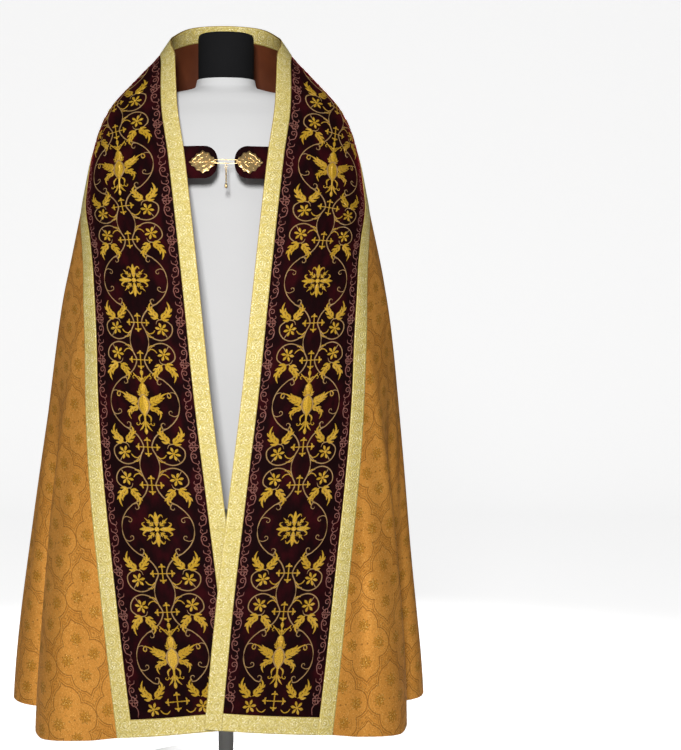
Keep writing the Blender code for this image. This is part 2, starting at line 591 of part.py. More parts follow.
def build():
    for obj in list(bpy.data.objects):
        bpy.data.objects.remove(obj)
    brocade = material("gold_brocade", (0.58, 0.27, 0.05), 0.55)
    velvet = material("wine_velvet", (0.06, 0.004, 0.010), 0.85)
    gold_braid = material("gold_braid", (0.68, 0.54, 0.17), 0.40, 0.4)
    bullion = material("bullion", (0.36, 0.20, 0.04), 0.50, 0.3)
    lining = material("rust_lining", (0.13, 0.03, 0.008), 0.70)
    gilt = material("gilt", (0.75, 0.55, 0.25), 0.30, 1.0)
    cover = material("jersey_cover", (0.80, 0.79, 0.77), 0.85)
    felt = material("black_felt", (0.010, 0.010, 0.011), 0.90)
    metal = material("painted_steel", (0.62, 0.62, 0.60), 0.45)
    back_panel("body_back", brocade)
    for side, word in ((-1, "right"), (1, "left")):
        side_panel("body_" + word, side, brocade)
        orphrey("orphrey_" + word, side, velvet)
        edge_braid("inner_braid_" + word, side, [(0, 0), (0, BAND_BRAID)], gold_braid)
        outer = [(1, -BAND_BRAID), (1, -BAND_BRAID / 2), (1, 0)]
        edge_braid("outer_braid_" + word, side, outer, gold_braid)
        hem_braid("hem_braid_" + word, side, gold_braid)
        morse_tab("morse_tab_" + word, side, velvet)
        clasp("clasp_" + word, side, gilt)
    centre_back_braid(gold_braid)
    neck_trim("neck_braid", [(0, 0), (0, BAND_BRAID)], gold_braid)
    neck_trim("neck_lining", [(0, BAND_BRAID + SEAM_GAP), *MID_PLACES[:4]], lining)
    hood(velvet)
    hood_braid(gold_braid)
    hood_fringe(bullion)
    link(gilt)
    pendant_ring(gilt)
    pendant(gilt)
    dress_form(cover, felt, metal)


build()
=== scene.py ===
"""A velvet and brocade cope on a limbless dress form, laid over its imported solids.

All the cloth lies on one bell: rings about the upright axis whose widths and depths change with height,
with upright folds pushed into it. A place on the bell is an angle from centre back, growing towards +X, and
a height. Metres, Z up, the front faces -Y and the wearer's right is at -X.
"""

import bpy
import numpy as np
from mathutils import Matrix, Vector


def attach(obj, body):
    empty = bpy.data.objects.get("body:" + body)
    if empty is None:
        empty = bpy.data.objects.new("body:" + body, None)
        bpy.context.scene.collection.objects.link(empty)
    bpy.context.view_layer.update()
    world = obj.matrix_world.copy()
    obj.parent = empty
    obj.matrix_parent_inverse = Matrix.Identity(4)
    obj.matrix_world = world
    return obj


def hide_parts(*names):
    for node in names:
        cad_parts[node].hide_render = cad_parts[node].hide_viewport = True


bl_info = {
    "name": "Cope on a Dress Form",
    "version": (1, 0, 0),
    "blender": (4, 5, 0),
    "location": "3D View > Sidebar > Cope",
    "description": "Cloth, embroidery, braids, fringe and fastening of a cope",
    "category": "Add Mesh",
}
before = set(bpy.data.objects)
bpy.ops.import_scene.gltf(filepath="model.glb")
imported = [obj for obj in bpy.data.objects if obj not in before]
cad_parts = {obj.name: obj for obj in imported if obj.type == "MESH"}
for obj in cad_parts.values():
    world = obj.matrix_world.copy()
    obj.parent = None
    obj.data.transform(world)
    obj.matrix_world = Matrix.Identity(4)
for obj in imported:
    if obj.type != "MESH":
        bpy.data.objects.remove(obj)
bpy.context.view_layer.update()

# ---- the cut: the same sizes as in the solids, metres and degrees ------------------------------------
BAND_BRAID = 0.034
SEAM_GAP = 0.0003
CLOTH_WALL = 0.0018
BRAID_WALL = 0.0010
HEM_INNER, HEM_OUTER = 0.143, 0.120
COLLAR_CORNER, COLLAR_BACK = 1.585, 1.605
LEVEL_TOP = 1.10
YOKE_ANGLE, SEAM_ANGLE, PANEL_TOP = 84.0, 63.5, 1.36
LAP, LEFT_SLACK = 0.009, 0.026
SIDE = [(0.10, 0.438), (0.165, 0.436), (0.53, 0.404), (0.77, 0.377), (1.0, 0.347), (1.10, 0.327),
        (1.235, 0.300), (1.30, 0.287), (1.36, 0.271), (1.412, 0.246), (1.475, 0.190), (1.536, 0.134),
        (1.585, 0.107), (1.61, 0.103)]
FRONT = [(0.10, 0.325), (0.53, 0.297), (0.80, 0.275), (1.0, 0.252), (1.2, 0.208), (1.30, 0.175),
         (1.42, 0.125), (1.51, 0.088), (1.585, 0.066), (1.61, 0.062)]
BACK = [(0.10, 0.330), (0.53, 0.290), (0.80, 0.262), (1.0, 0.236), (1.10, 0.220), (1.25, 0.192),
        (1.35, 0.166), (1.42, 0.142), (1.51, 0.108), (1.585, 0.082), (1.61, 0.074)]
OPENING = [(0.12, -0.045), (0.40, -0.018), (0.60, 0.006), (0.80, 0.031), (1.0, 0.052), (1.2, 0.074),
           (1.30, 0.086), (1.42, 0.1025), (1.51, 0.106), (1.585, 0.1045)]
OUTER_EDGE = [(0, 1.348), (40, 1.347), (65, 1.344), (76, 1.335), (84, 1.305), (90, 1.255), (93.5, 1.21),
              (104.6, 1.13), (112, 1.05), (118, 0.93), (122.2, 0.80), (130, 0.55), (142.5, HEM_OUTER)]
HEM = [(0, 0.130), (12, 0.124), (24, 0.132), (40, 0.118), (50, 0.116), (63, 0.148), (88, 0.158),
       (104, 0.142), (120, 0.106), (132, 0.110), (142.5, HEM_OUTER), (180, 0.142), (190, HEM_INNER)]
TROUGHS = [(104, 0.095, 5.0), (63, 0.085, 4.5)]
SWELLS = [(121, 0.026, 9), (88, 0.016, 9), (48, 0.014, 9), (22, -0.012, 8), (0, 0.008, 9)]
FOLD_TOP, FOLD_FULL, TURN_IN = 0.98, 0.12, 2.2
CENTRE_ANGLE, SEAM_TURN, LEVEL_SHARE, COLLAR_SHARE = 0.1, 0.05, 0.60, 0.86
HOOD_SIDE = [(0.87, 56.5), (0.95, 58.0), (1.0, 59.8), (1.1, 63.3), (1.2, 68.0), (1.30, 73.5), (1.345, 75.0)]
HOOD_FOOT, HOOD_CORNER, HOOD_POWER = 0.866, 0.15, 3.2
HOOD_TUCK, HOOD_WALL, HOOD_REST, HOOD_STAND = 0.0008, 0.0022, 0.0016, 0.009
HOOD_BRAID, HOOD_BRAID_LIFT = 0.018, 0.0008
HOOD_CHART_WIDTH = 1.10        # the hood's chart is stretched sideways by this
FRINGE_LENGTH, FRINGE_SPREAD, FRINGE_GAP = 0.050, 0.55, 0.0006
MORSE_HEIGHT, MORSE_FRONT, MORSE_LEAN = 1.279, -0.1805, 0.34
TAB_START, TAB_END, TAB_NOSE, TAB_HALF, TAB_RECEDE, TAB_WALL = 0.094, 0.0175, 0.028, 0.0345, 0.16, 0.0028
CLASP_MIDDLE, CLASP_LENGTH, CLASP_HEIGHT = 0.048, 0.058, 0.046
CLASP_WALL, CLASP_SPIKES, CLASP_SPIKE, STUD_AT = 0.0020, 14, 0.085, 0.0222
LINK_FRONT, LINK_HALF_HEIGHT, LINK_WIRE, LINK_STRAIGHT = -0.1850, 0.0036, 0.0008, 0.0215
RING_MAJOR, RING_WIRE, LOOP_MAJOR, LOOP_WIRE = 0.0036, 0.0006, 0.0022, 0.0005
TORSO = [(0.56, 0.118, 0.088, 0.086), (0.70, 0.142, 0.102, 0.104), (0.85, 0.158, 0.108, 0.120),
         (1.0, 0.150, 0.102, 0.104), (1.10, 0.158, 0.106, 0.104), (1.20, 0.184, 0.118, 0.112),
         (1.28, 0.212, 0.134, 0.112), (1.34, 0.236, 0.118, 0.106), (1.385, 0.230, 0.098, 0.092),
         (1.415, 0.205, 0.080, 0.080), (1.437, 0.150, 0.068, 0.070), (1.448, 0.090, 0.060, 0.062),
         (1.456, 0.066, 0.056, 0.058), (1.472, 0.062, 0.054, 0.052)]

NECK_BLOCK = 0.0595, 0.052, 0.050      # half width, front and back
NECK = [(1.4723, 0.985), (1.48, 0.995), (1.50, 1.0), (1.560, 1.0), (1.566, 0.985), (1.5695, 0.95),
        (1.571, 0.90)]
POLE_RADIUS, POLE = 0.016, (0.0183, 0.3, 0.5597)
BASE = [(0.0, 0.196), (0.002, 0.199), (0.004, 0.200), (0.012, 0.200), (0.016, 0.198), (0.018, 0.190)]

# ---- finer shape, only in the finished pieces --------------------------------------------------------
# soft creases in the cloth: (angle, height, half angle, half height, lean in degrees a metre, depth)
CREASES = [
    (113, 0.52, 3.2, 0.36, 8, 0.0080), (95, 0.50, 2.6, 0.32, -6, -0.0075), (80, 0.60, 3.0, 0.36, 5, 0.0080),
    (72, 0.40, 2.4, 0.26, 4, -0.0070), (55, 0.46, 2.6, 0.30, 3, 0.0075), (35, 0.42, 3.4, 0.30, 2, -0.0080),
    (14, 0.48, 3.0, 0.32, 2, 0.0070), (128, 0.40, 2.6, 0.26, -10, -0.0030), (100, 1.02, 3.0, 0.09, 30, 0.0028),
    (86, 1.10, 3.4, 0.08, 24, 0.0028), (150, 0.62, 4.0, 0.20, -20, 0.0018),
    (148, 0.95, 4.2, 0.14, -24, -0.0014), (128, 1.18, 4.0, 0.05, -50, 0.0022),
    (108, 1.33, 5.0, 0.04, -60, 0.0016), (158, 0.30, 3.6, 0.14, -10, -0.0016)]
# the collar's corners: the rounding's length to each side, and how far and over what length the edge sinks
CORNER_REACH, CORNER_DROP, CORNER_SINK = 0.030, 0.026, 0.055
CUT_RADIUS, FRONT_TURN = 1.46, 80.0     # the flat half circle, and the turn in it of the brocade's front edge
# embroidery on the bands: the first medallion's place above the hem and the distance to the next, millimetres
MEDALLION_START, MEDALLION_EVERY = 153.0, 254.0
BAND_LENGTH, VELVET_WIDTH, BRAID_DOME = 1.655, 0.204, 0.0005
SIDES = ((-1, "right"), (1, "left"))

# ---- the stage: place, size and watts of each light, and the camera ----------------------------------
LIGHTS = (("key", (-0.3, -4.6, 2.0), 0.7, 47), ("fill", (3.4, -1.0, 1.6), 1.6, 0.9),
          ("back key", (0.3, 4.6, 2.0), 0.7, 47), ("back fill", (-3.4, 1.0, 1.6), 1.6, 0.9))
LIGHT_AIM, LIGHT_SPREAD, WORLD_LIGHT = (0, 0, 0.9), 75.0, 0.15
PAPER, PAPER_GLOW = 0.60, 0.80
FLOOR_FLAT, FLOOR_CURVE, FLOOR_TOP = 7.5, 2.0, 5.5
LENS, CAMERA_PLACE, CAMERA_TURN = 89.3, (0, -4.0, 0.842), 3.52


# ---- the bell ----------------------------------------------------------------------------------------
def smooth(x, low, high):
    """0 below low, 1 above high, and the easy slope 3t^2 - 2t^3 between."""
    t = np.clip((x - low) / (high - low), 0, 1)
    return t * t * (3 - 2 * t)


def through(x, knots):
    """A curve with no overshoot through (x, y) knots, cubic between them."""
    k = np.array(sorted(knots), float)
    kx, ky = k[:, 0], k[:, 1]
    step = np.diff(kx)
    rise = np.diff(ky) / step
    slope = np.zeros(len(kx))
    slope[0], slope[-1] = rise[0], rise[-1]
    before, after = 2 * step[1:] + step[:-1], step[1:] + 2 * step[:-1]
    turning = rise[:-1] * rise[1:] <= 0
    safe = np.where(turning, 1, rise[:-1]), np.where(turning, 1, rise[1:])
    slope[1:-1] = np.where(turning, 0, (before + after) / (before / safe[0] + after / safe[1]))
    x = np.clip(np.asarray(x, float), kx[0], kx[-1])
    i = np.clip(np.searchsorted(kx, x) - 1, 0, len(step) - 1)
    t = (x - kx[i]) / step[i]
    ends = (1 + 2 * t) * (1 - t) ** 2 * ky[i] + t * t * (3 - 2 * t) * ky[i + 1]
    return ends + step[i] * (t * (1 - t) ** 2 * slope[i] + t * t * (t - 1) * slope[i + 1])


def bell(angle, height):
    """The cloth's outer face: at each height an ellipse whose radius is 1 / sqrt((sin/wide)^2 +
    (cos/deep)^2), less a Gaussian trough at each fold, whose lips turn in over it; the right band drops
    back behind the left one."""
    angle, height = np.broadcast_arrays(np.asarray(angle, float), np.asarray(height, float))
    turn = np.radians(angle)
    wide = through(height, SIDE) - LEFT_SLACK * (angle > 0) * smooth(-height, -1.0, -0.30)
    deep = np.where(np.cos(turn) > 0, through(height, BACK), through(height, FRONT))
    reach = 1 / np.sqrt((np.sin(turn) / wide) ** 2 + (np.cos(turn) / deep) ** 2)
    away = np.abs(angle)
    grown = smooth(FOLD_TOP - height, 0, FOLD_TOP - FOLD_FULL)
    shift = np.zeros_like(reach)
    for centre, depth, half in TROUGHS:
        off = (away - centre) / half
        reach = reach - depth * grown ** 1.3 * np.exp(-off ** 2)
        shift = shift - TURN_IN * grown ** 1.3 * off * np.exp(-(off / 1.6) ** 2)
    for centre, depth, half in SWELLS:
        reach = reach + depth * grown * np.exp(-((away - centre) / half) ** 2)
    turn = np.radians(angle + np.sign(angle) * shift)
    x = reach * np.sin(turn)
    under = (angle < -90) * smooth(-height, -0.80, -0.50) * smooth(x, -0.14, -0.05)
    return np.stack([x, reach * np.cos(turn) + LAP * under, height + 0 * x], -1)


def outwards(angle, height):
    """Unit normals of the bell, from small steps round and up."""
    d_angle, d_height = 0.05, 0.0005
    around = bell(angle + d_angle, height) - bell(angle - d_angle, height)
    up = bell(angle, height + d_height) - bell(angle, height - d_height)
    out = np.cross(up, around)
    return out / np.linalg.norm(out, axis=-1, keepdims=True)


def creases(angle, height):
    """Depth of the soft creases: a sum of long Gaussian ridges and troughs, a little different on the two
    sides."""
    depth = 0.0
    for centre, level, half, tall, lean, deep in CREASES:
        side = np.where(angle > 0, 1.0, -1.0)
        across = (np.abs(angle) - centre - 1.6 * side - lean * (height - level)) / half
        upright = (height - level + 0.03 * side) / tall
        depth = depth + deep * (1 + 0.3 * side) * np.exp(-across ** 2 - upright ** 2)
    return depth * bpy.context.scene.cope.crease_depth


def on_cloth(angle, height, lift):
    """Points of the creased cloth, moved out along its normals by lift."""
    angle, height = np.asarray(angle, float), np.asarray(height, float)
    lift = np.asarray(lift) + creases(angle, height)
    return bell(angle, height) + outwards(angle, height) * lift[..., None]


def on_bell(points, near):
    """Angles and heights of points seen from the axis."""
    angle = np.degrees(np.arctan2(points[..., 0], points[..., 1]))
    return angle + 360 * np.round((near - angle) / 360), points[..., 2]


def run(points):
    """Length along rows of points, from 0 at the start."""
    steps = np.linalg.norm(np.diff(points, axis=0), axis=-1)
    return np.concatenate([np.zeros_like(steps[:1]), np.cumsum(steps, axis=0)])


# ---- the bands ---------------------------------------------------------------------------------------
def inner_edge():
    """Angle and height from the front hem up the opening and round the neck to centre back."""
    height = np.linspace(HEM_INNER, COLLAR_CORNER, 240)
    half = through(height, OPENING)
    deep = through(height, FRONT) * np.sqrt(1 - (half / through(height, SIDE)) ** 2)
    angle = 180 - np.degrees(np.arctan2(half, deep))
    part = np.linspace(0, 1, 60)[1:]
    back = angle[-1] * (1 - part) + CENTRE_ANGLE * part
    rise = COLLAR_CORNER + (COLLAR_BACK - COLLAR_CORNER) * np.sin(np.pi / 2 * part)
    return rounded(np.r_[angle, back], np.r_[height, rise], len(height) - 1)


def rounded(angle, height, corner):
    """The edge sunk by a Gaussian at its corner, which is cut by a curve (1-t)^2 a + 2t(1-t) c + t^2 b."""
    length = run(bell(angle, height)) - run(bell(angle, height))[corner]
    height = height - CORNER_DROP * np.exp(-(length / CORNER_SINK) ** 2)
    t = np.clip((length / CORNER_REACH + 1) / 2, 0, 1)
    made = []
    for values in (angle, height):
        a, b = (np.interp(end, length, values) for end in (-CORNER_REACH, CORNER_REACH))
        curve = (1 - t) ** 2 * a + 2 * t * (1 - t) * values[corner] + t ** 2 * b
        made.append(np.where((t > 0) & (t < 1), curve, values))
    return made


def outer_edge():
    """Angle and height from the front hem up and over the shoulder to centre back."""
    knots = np.array(OUTER_EDGE[::-1], float)
    knots[-1, 0] = CENTRE_ANGLE
    length = run(bell(knots[:, 0], knots[:, 1]))
    at = np.linspace(0, length[-1], 300)
    return through(at, np.c_[length, knots[:, 0]].tolist()), through(at, np.c_[length, knots[:, 1]].tolist())


def edge_at(edge, share):
    """Angle and height at shares of a band's length; equal shares are level with each other low down."""
    angle, height = edge
    length = run(bell(angle, height))
    straight = length[np.argmax(height >= LEVEL_TOP)]
    at = through(share, [(0, 0), (LEVEL_SHARE, straight), (1, length[-1])])
    return np.interp(at, length, angle), np.interp(at, length, height)


def share_of(angle):
    """The share of a band's length where its outer edge passes an angle."""
    shares = np.linspace(LEVEL_SHARE, 1, 400)
    return np.interp(-np.asarray(angle, float), -edge_at(outer_edge(), shares)[0], shares)


def cross_lines(side, share, places):
    """Angles and heights on a band: a row for each share, a column for each (part of width, metres). A
    cross line is the straight chord between the edges, seen from the axis onto the bell and measured along
    it."""
    inner, outer = edge_at(inner_edge(), share), edge_at(outer_edge(), share)
    part = np.linspace(0, 1, 33)[:, None]
    ends = bell(side * inner[0], inner[1]), bell(side * outer[0], outer[1])
    chord = ends[0] * (1 - part[..., None]) + ends[1] * part[..., None]
    angle, height = on_bell(chord, side * (inner[0] * (1 - part) + outer[0] * part))
    length = run(bell(angle, height))
    angles, heights = [], []
    for i in range(len(share)):
        at = [p * length[-1, i] + metres for p, metres in places]
        angles.append(np.interp(at, length[:, i], angle[:, i]))
        heights.append(np.interp(at, length[:, i], height[:, i]))
    return np.array(angles), np.array(heights)


def between_braids(count, edge=BAND_BRAID):
    """Places across a band from one braid to the other, for cross_lines."""
    return [(p, edge * (1 - 2 * p)) for p in np.linspace(0, 1, count)]


def along(start, end, step=0.0045):
    """Shares of a band's length from start to end, a step or so apart."""
    return np.linspace(start, end, int(np.ceil((end - start) / step)) + 1)


# ---- making meshes -----------------------------------------------------------------------------------
def quads(rows, columns, closed=False):
    """Corner numbers of a grid's faces; a closed grid joins its last column to its first."""
    i = np.arange(rows - 1)[:, None] * columns
    j = np.arange(columns if closed else columns - 1)[None]
    k = (j + 1) % columns
    return np.stack([i + j, i + k, i + columns + k, i + columns + j], -1).reshape(-1, 4)


def put(name, points, faces, mats, uv=None, kinds=None, node=(), body="root", slot=None, sharp=None):
    """A mesh object from whole arrays: points, four corners a face, a chart coordinate and a material a
    face."""
    mesh = bpy.data.meshes.new(name)
    mesh.vertices.add(len(points))
    mesh.vertices.foreach_set("co", np.asarray(points, np.float32).ravel())
    mesh.loops.add(faces.size)
    mesh.loops.foreach_set("vertex_index", faces.ravel().astype(np.int32))
    mesh.polygons.add(len(faces))
    mesh.polygons.foreach_set("loop_start", np.arange(0, faces.size, 4, dtype=np.int32))
    if uv is not None:
        chart = mesh.uv_layers.new(name="chart")
        chart.data.foreach_set("uv", np.asarray(uv, np.float32)[faces.ravel()].ravel())
    if kinds is not None:
        mesh.polygons.foreach_set("material_index", np.asarray(kinds, np.int32))
    mesh.update(calc_edges=True)
    mesh.validate()
    mesh.shade_smooth()
    if sharp is not None:
        mesh.set_sharp_from_angle(angle=np.radians(sharp))
    for mat in mats:
        mesh.materials.append(mat)
    obj = bpy.data.objects.new(name, mesh)
    bpy.context.scene.collection.objects.link(obj)
    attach(obj, body)
    if node:
        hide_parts(*node)
    return obj


def shell(name, outer, inner, uv, mats, **rest):
    """A thin closed wall between two grids of points, its own cloth outside and its lining inside."""
    rows, columns = outer.shape[:2]
    face = quads(rows, columns)
    count = rows * columns
    j, i = np.arange(columns), np.arange(rows)
    ring = np.r_[j, i[1:] * columns + columns - 1, (rows - 1) * columns + j[-2::-1], i[-2:0:-1] * columns]
    after = np.roll(ring, -1)
    rim = np.stack([ring, ring + count, after + count, after], -1)
    faces = np.r_[face, face[:, ::-1] + count, rim]
    points = np.r_[outer.reshape(-1, 3), inner.reshape(-1, 3)]
    a, b, c = (points[face[len(face) // 2, k]] for k in (0, 1, 2))
    if np.dot(np.cross(b - a, c - a), (outer - inner)[rows // 2, columns // 2]) < 0:
        faces = faces[:, ::-1]
    kinds = np.r_[np.zeros(len(face)), np.ones(len(face)), np.zeros(len(rim))] * (len(mats) > 1)
    return put(name, points, faces, mats, np.tile(uv.reshape(-1, 2), (2, 1)), kinds, sharp=60, **rest)


def cloth(name, grid, slot, node, chart=None, top=0.0, wall=CLOTH_WALL):
    """A thin wall laid on the bell at a grid of angles and heights, its outer face top above it. It is
    lined, unless it is the lining. chart works out the chart of the outer face."""
    outer, inner = on_cloth(*grid, top), on_cloth(*grid, top - wall)
    mats = finishes(*dict.fromkeys((slot, "lining")))
    return shell(name, outer, inner, (chart or spread)(outer), mats, node=[node], slot=slot)


def spread(points, across=None):
    """Chart coordinates of a grid in metres: (length along each row from its middle column, length down the
    middle)."""
    middle = points.shape[1] // 2 if across is None else across
    over = run(points.transpose(1, 0, 2)).T
    down = run(points[:, middle])[:, None]
    return np.stack([over - over[:, middle:middle + 1], down + 0 * over], -1)


def on_the_round(points, foot, start=0.0, across=None):
    """Chart coordinates of a panel cut from the flat half circle: a place a length r from the neck point
    and an arc s from a column at turn a lies at (r sin(a + s / r), -r cos(a + s / r)). The weave hangs
    straight at centre back and lies level at the fronts."""
    flat = spread(points, across)
    far = CUT_RADIUS + (flat[..., 1] - flat[foot, :, 1]) * (1 if foot else -1)
    turn = np.radians(start) + flat[..., 0] / far
    return np.stack([far * np.sin(turn), -far * np.cos(turn)], -1)


def tubes(lines, radius, normals, sides=6, closed=False, twist=None):
    """Rings round centre lines (line, place, 3): radius times the unit circle in each line's own cross plane.
    twist turns a two-ply section, radius (1 + 0.22 cos(2 turn - twist))."""
    if closed:
        ahead = np.roll(lines, -1, axis=1) - np.roll(lines, 1, axis=1)
    else:
        ahead = np.gradient(lines, axis=1)
    ahead /= np.linalg.norm(ahead, axis=-1, keepdims=True)
    side = np.cross(ahead, normals)
    side /= np.linalg.norm(side, axis=-1, keepdims=True)
    top = np.cross(side, ahead)
    turn = np.linspace(0, 2 * np.pi, sides, endpoint=False)
    reach = np.broadcast_to(np.asarray(radius, float)[..., None], lines.shape[:2] + (sides,))
    if twist is not None:
        reach = reach * (1 + 0.22 * np.cos(2 * turn - twist[..., None]))
    ring = np.cos(turn)[:, None] * side[:, :, None] + np.sin(turn)[:, None] * top[:, :, None]
    return lines[:, :, None] + ring * reach[..., None]


def tube_faces(count, places, sides, closed=False):
    """Faces of count tubes of the same make."""
    one = quads(places + closed, sides, True)
    one = one % (places * sides)
    return (one[None] + np.arange(count)[:, None, None] * places * sides).reshape(-1, 4)


# ---- embroidery, drawn flat in millimetres and then laid on the cloth --------------------------------
GOLD, PALE, ROSE = 0, 1, 2
LEAF_LOBES = 2


def drawn(points, width, form="stem", high=None, thread=GOLD):
    """One motif: a domed strip along a smooth curve through points, as (grid of (across, along, height),
    chart, thread). Its half width is width / 2 times a profile of u from 0 to 1; its height goes with
    (1 - c^2)^0.7 over c from -1 to 1."""
    points = np.array([np.asarray(p, float) for p in points])
    points = points[np.r_[True, np.diff(run(points)) > 0.01]]
    length = run(points)
    rows = {"stem": max(8, int(length[-1] / 2.6)), "leaf": 7 * LEAF_LOBES + 2}.get(form, 10)
    u = np.linspace(0, 1, rows)
    at = u * length[-1]
    slope = np.gradient(points, length, axis=0)
    i = np.clip(np.searchsorted(length, at) - 1, 0, len(points) - 2)
    step = (length[i + 1] - length[i])[:, None]
    t = ((at - length[i])[:, None]) / step
    line = ((1 + 2 * t) * (1 - t) ** 2 * points[i] + t * t * (3 - 2 * t) * points[i + 1]
            + step * (t * (1 - t) ** 2 * slope[i] + t * t * (t - 1) * slope[i + 1]))
    saw = (u * LEAF_LOBES) % 1
    profile = {
        "stem": 0.3 + 0.7 * np.minimum(1, np.minimum(u, 1 - u) / 0.12),
        "blade": 0.12 + np.sin(np.pi * u ** 0.8) ** 0.8,
        "petal": 0.08 + np.sin(np.pi * u ** 1.25) ** 0.75,
        "dome": 0.05 + np.sqrt(np.clip(1 - (2 * u - 1) ** 2, 0, 1)),
        "leaf": 0.07 + np.sin(np.pi * u ** 0.85) ** 0.7 * (0.26 + 0.84 * saw ** 1.1),
    }[form]
    ahead = np.gradient(line, axis=0)
    ahead /= np.linalg.norm(ahead, axis=1, keepdims=True)
    side = np.c_[ahead[:, 1], -ahead[:, 0]]
    c = np.linspace(-1, 1, {"stem": 3, "blade": 5, "petal": 5, "dome": 7}.get(form, 7))
    swept = -0.35 * width * np.abs(c) * (form == "leaf")
    flat = line[:, None] + side[:, None] * (c[:, None] * (width / 2 * profile)[:, None, None])
    flat = flat + ahead[:, None] * (swept * np.minimum(1, 3 * (1 - u))[:, None] * -0.6)[..., None]
    high = high if high is not None else {"stem": 0.7, "dome": 1.8}.get(form, 1.2)
    vein = 1 - 0.35 * np.exp(-(c / 0.16) ** 2) * (form in ("leaf", "blade"))
    rise = high * (1 - c ** 2) ** 0.7 * vein * np.minimum(1, profile[:, None] * 1.5) - 0.15
    chart = np.stack(np.broadcast_arrays(at[:, None] / 1000,
                                         c[None] * 0.01 + (0.05 if form == "leaf" else 0.01)), -1)
    return np.dstack([flat, rise]), chart, thread


def stems(thread, *lines):
    """Plain stems, each given as its width and then its points."""
    return [drawn(points, width, thread=thread) for width, *points in lines]


def blades(width, *lines):
    """Pointed blades of one width, each given as its points."""
    return [drawn(points, width, "blade") for points in lines]


def curled(width, points, *curl, thread=GOLD, high=None):
    """A stem through points that ends in a curl: see spiral."""
    return drawn(np.r_[points, spiral(*curl)], width, thread=thread, high=high)


def spiral(centre, radius, start, turns):
    """Points of a curl whose radius falls evenly to a quarter as it turns. Degrees; turns may be negative."""
    u = np.linspace(0, 1, max(6, int(abs(turns) * 12)))
    turn = np.radians(start) + 2 * np.pi * turns * u
    reach = radius * (1 - 0.75 * u)
    return np.c_[centre[0] + reach * np.cos(turn), centre[1] + reach * np.sin(turn)]


def flower(centre, radius, petals, width, turn):
    """Petals round a small domed heart."""
    made = [knot(centre, radius * 0.22)]
    for k in range(petals):
        a = np.radians(turn) + 2 * np.pi * k / petals
        way = np.array([np.cos(a), np.sin(a)]) * radius
        made.append(drawn([centre + way * part for part in (0.15, 0.6, 1)], width, "petal"))
    return made


def knot(centre, radius):
    """A domed dot."""
    centre = np.asarray(centre, float)
    return drawn([centre - [radius, 0], centre, centre + [radius, 0]], 2 * radius, "dome")


def place_on(points, at, step):
    """The point a length at along a line, and the unit direction to the point a step further on."""
    length = run(points)
    root, ahead = (np.array([np.interp(at + d, length, points[:, i]) for i in (0, 1)]) for d in (0, step))
    return root, (ahead - root) / np.linalg.norm(ahead - root)


def acanthus(width, pairs, *points):
    """A leaf: a bowed rib blade with pairs of pointed lobes that sweep forward from it and shorten to the
    tip."""
    points = np.array(points, float)
    made = [drawn(points, width * 0.42, "blade")]
    for k in range(pairs):
        root, ahead = place_on(points, run(points)[-1] * (0.10 + 0.66 * k / pairs), 2.0)
        reach = width * (0.92 - 0.34 * k / pairs)
        for s in (-1, 1):
            side = s * np.array([ahead[1], -ahead[0]])
            lobe = [root, root + (ahead * 0.30 + side * 0.36) * reach,
                    root + (ahead * 0.92 + side * 0.58) * reach]
            made.append(drawn(lobe, reach * 0.40, "blade"))
    return made


def leaves(*lines):
    """Acanthus leaves, each given as its width, its pairs of lobes and then its points."""
    return [part for line in lines for part in acanthus(*line)]


def moved(parts, across=1, along_it=1, shift=(0, 0), turn=0.0):
    """The motifs mirrored, then turned about the origin, then shifted; their faces keep pointing up."""
    c, s = np.cos(np.radians(turn)), np.sin(np.radians(turn))
    made = []
    for grid, chart, thread in parts:
        x, y = grid[..., 0] * across, grid[..., 1] * along_it
        new = np.stack([c * x - s * y + shift[0], s * x + c * y + shift[1], grid[..., 2]], -1)
        if across * along_it < 0:
            new, chart = new[:, ::-1], chart[:, ::-1]
        made.append((new, chart, thread))
    return made


def both_ways(parts):
    """The motifs and their mirror images across the middle line."""
    return parts + moved(parts, across=-1)


def four_ways(parts):
    """The motifs mirrored across both axes."""
    return both_ways(parts) + both_ways(moved(parts, along_it=-1))


def four_turns(parts):
    """The motifs turned to all four sides."""
    return [part for k in range(4) for part in moved(parts, turn=90 * k)]


def stitched(name, parts, lay, mats, **rest):
    """One mesh of all the motifs, laid on the cloth by lay(across, along, height) in metres."""
    points, faces, uv, kinds, count = [], [], [], [], 0
    for grid, chart, thread in parts:
        rows, columns = grid.shape[:2]
        points.append(grid.reshape(-1, 3))
        uv.append(chart.reshape(-1, 2))
        face = quads(rows, columns) + count
        faces.append(face)
        kinds.append(np.full(len(face), thread))
        count += rows * columns
    flat = np.concatenate(points) / 1000
    faces = np.concatenate(faces)
    placed = lay(flat[:, 0], flat[:, 1], flat[:, 2])
    a, b, c = (placed[faces[:, k]] for k in (0, 1, 2))
    up = lay(flat[:, 0], flat[:, 1], flat[:, 2] + 0.001)[faces[:, 0]] - a
    if np.sum(np.cross(b - a, c - a) * up) < 0:
        faces = faces[:, ::-1]
    return put(name, placed, faces, mats, np.concatenate(uv), np.concatenate(kinds), **rest)


def looked_up(table, row, column):
    """Values of a grid at fractional rows and columns, straight between its four neighbours."""
    row = np.clip(row, 0, table.shape[0] - 1.001)
    column = np.clip(column, 0, table.shape[1] - 1.001)
    i, j = row.astype(int), column.astype(int)
    r, c = row - i, column - j
    return ((table[i, j] * (1 - c) + table[i, j + 1] * c) * (1 - r)
            + (table[i + 1, j] * (1 - c) + table[i + 1, j + 1] * c) * r)


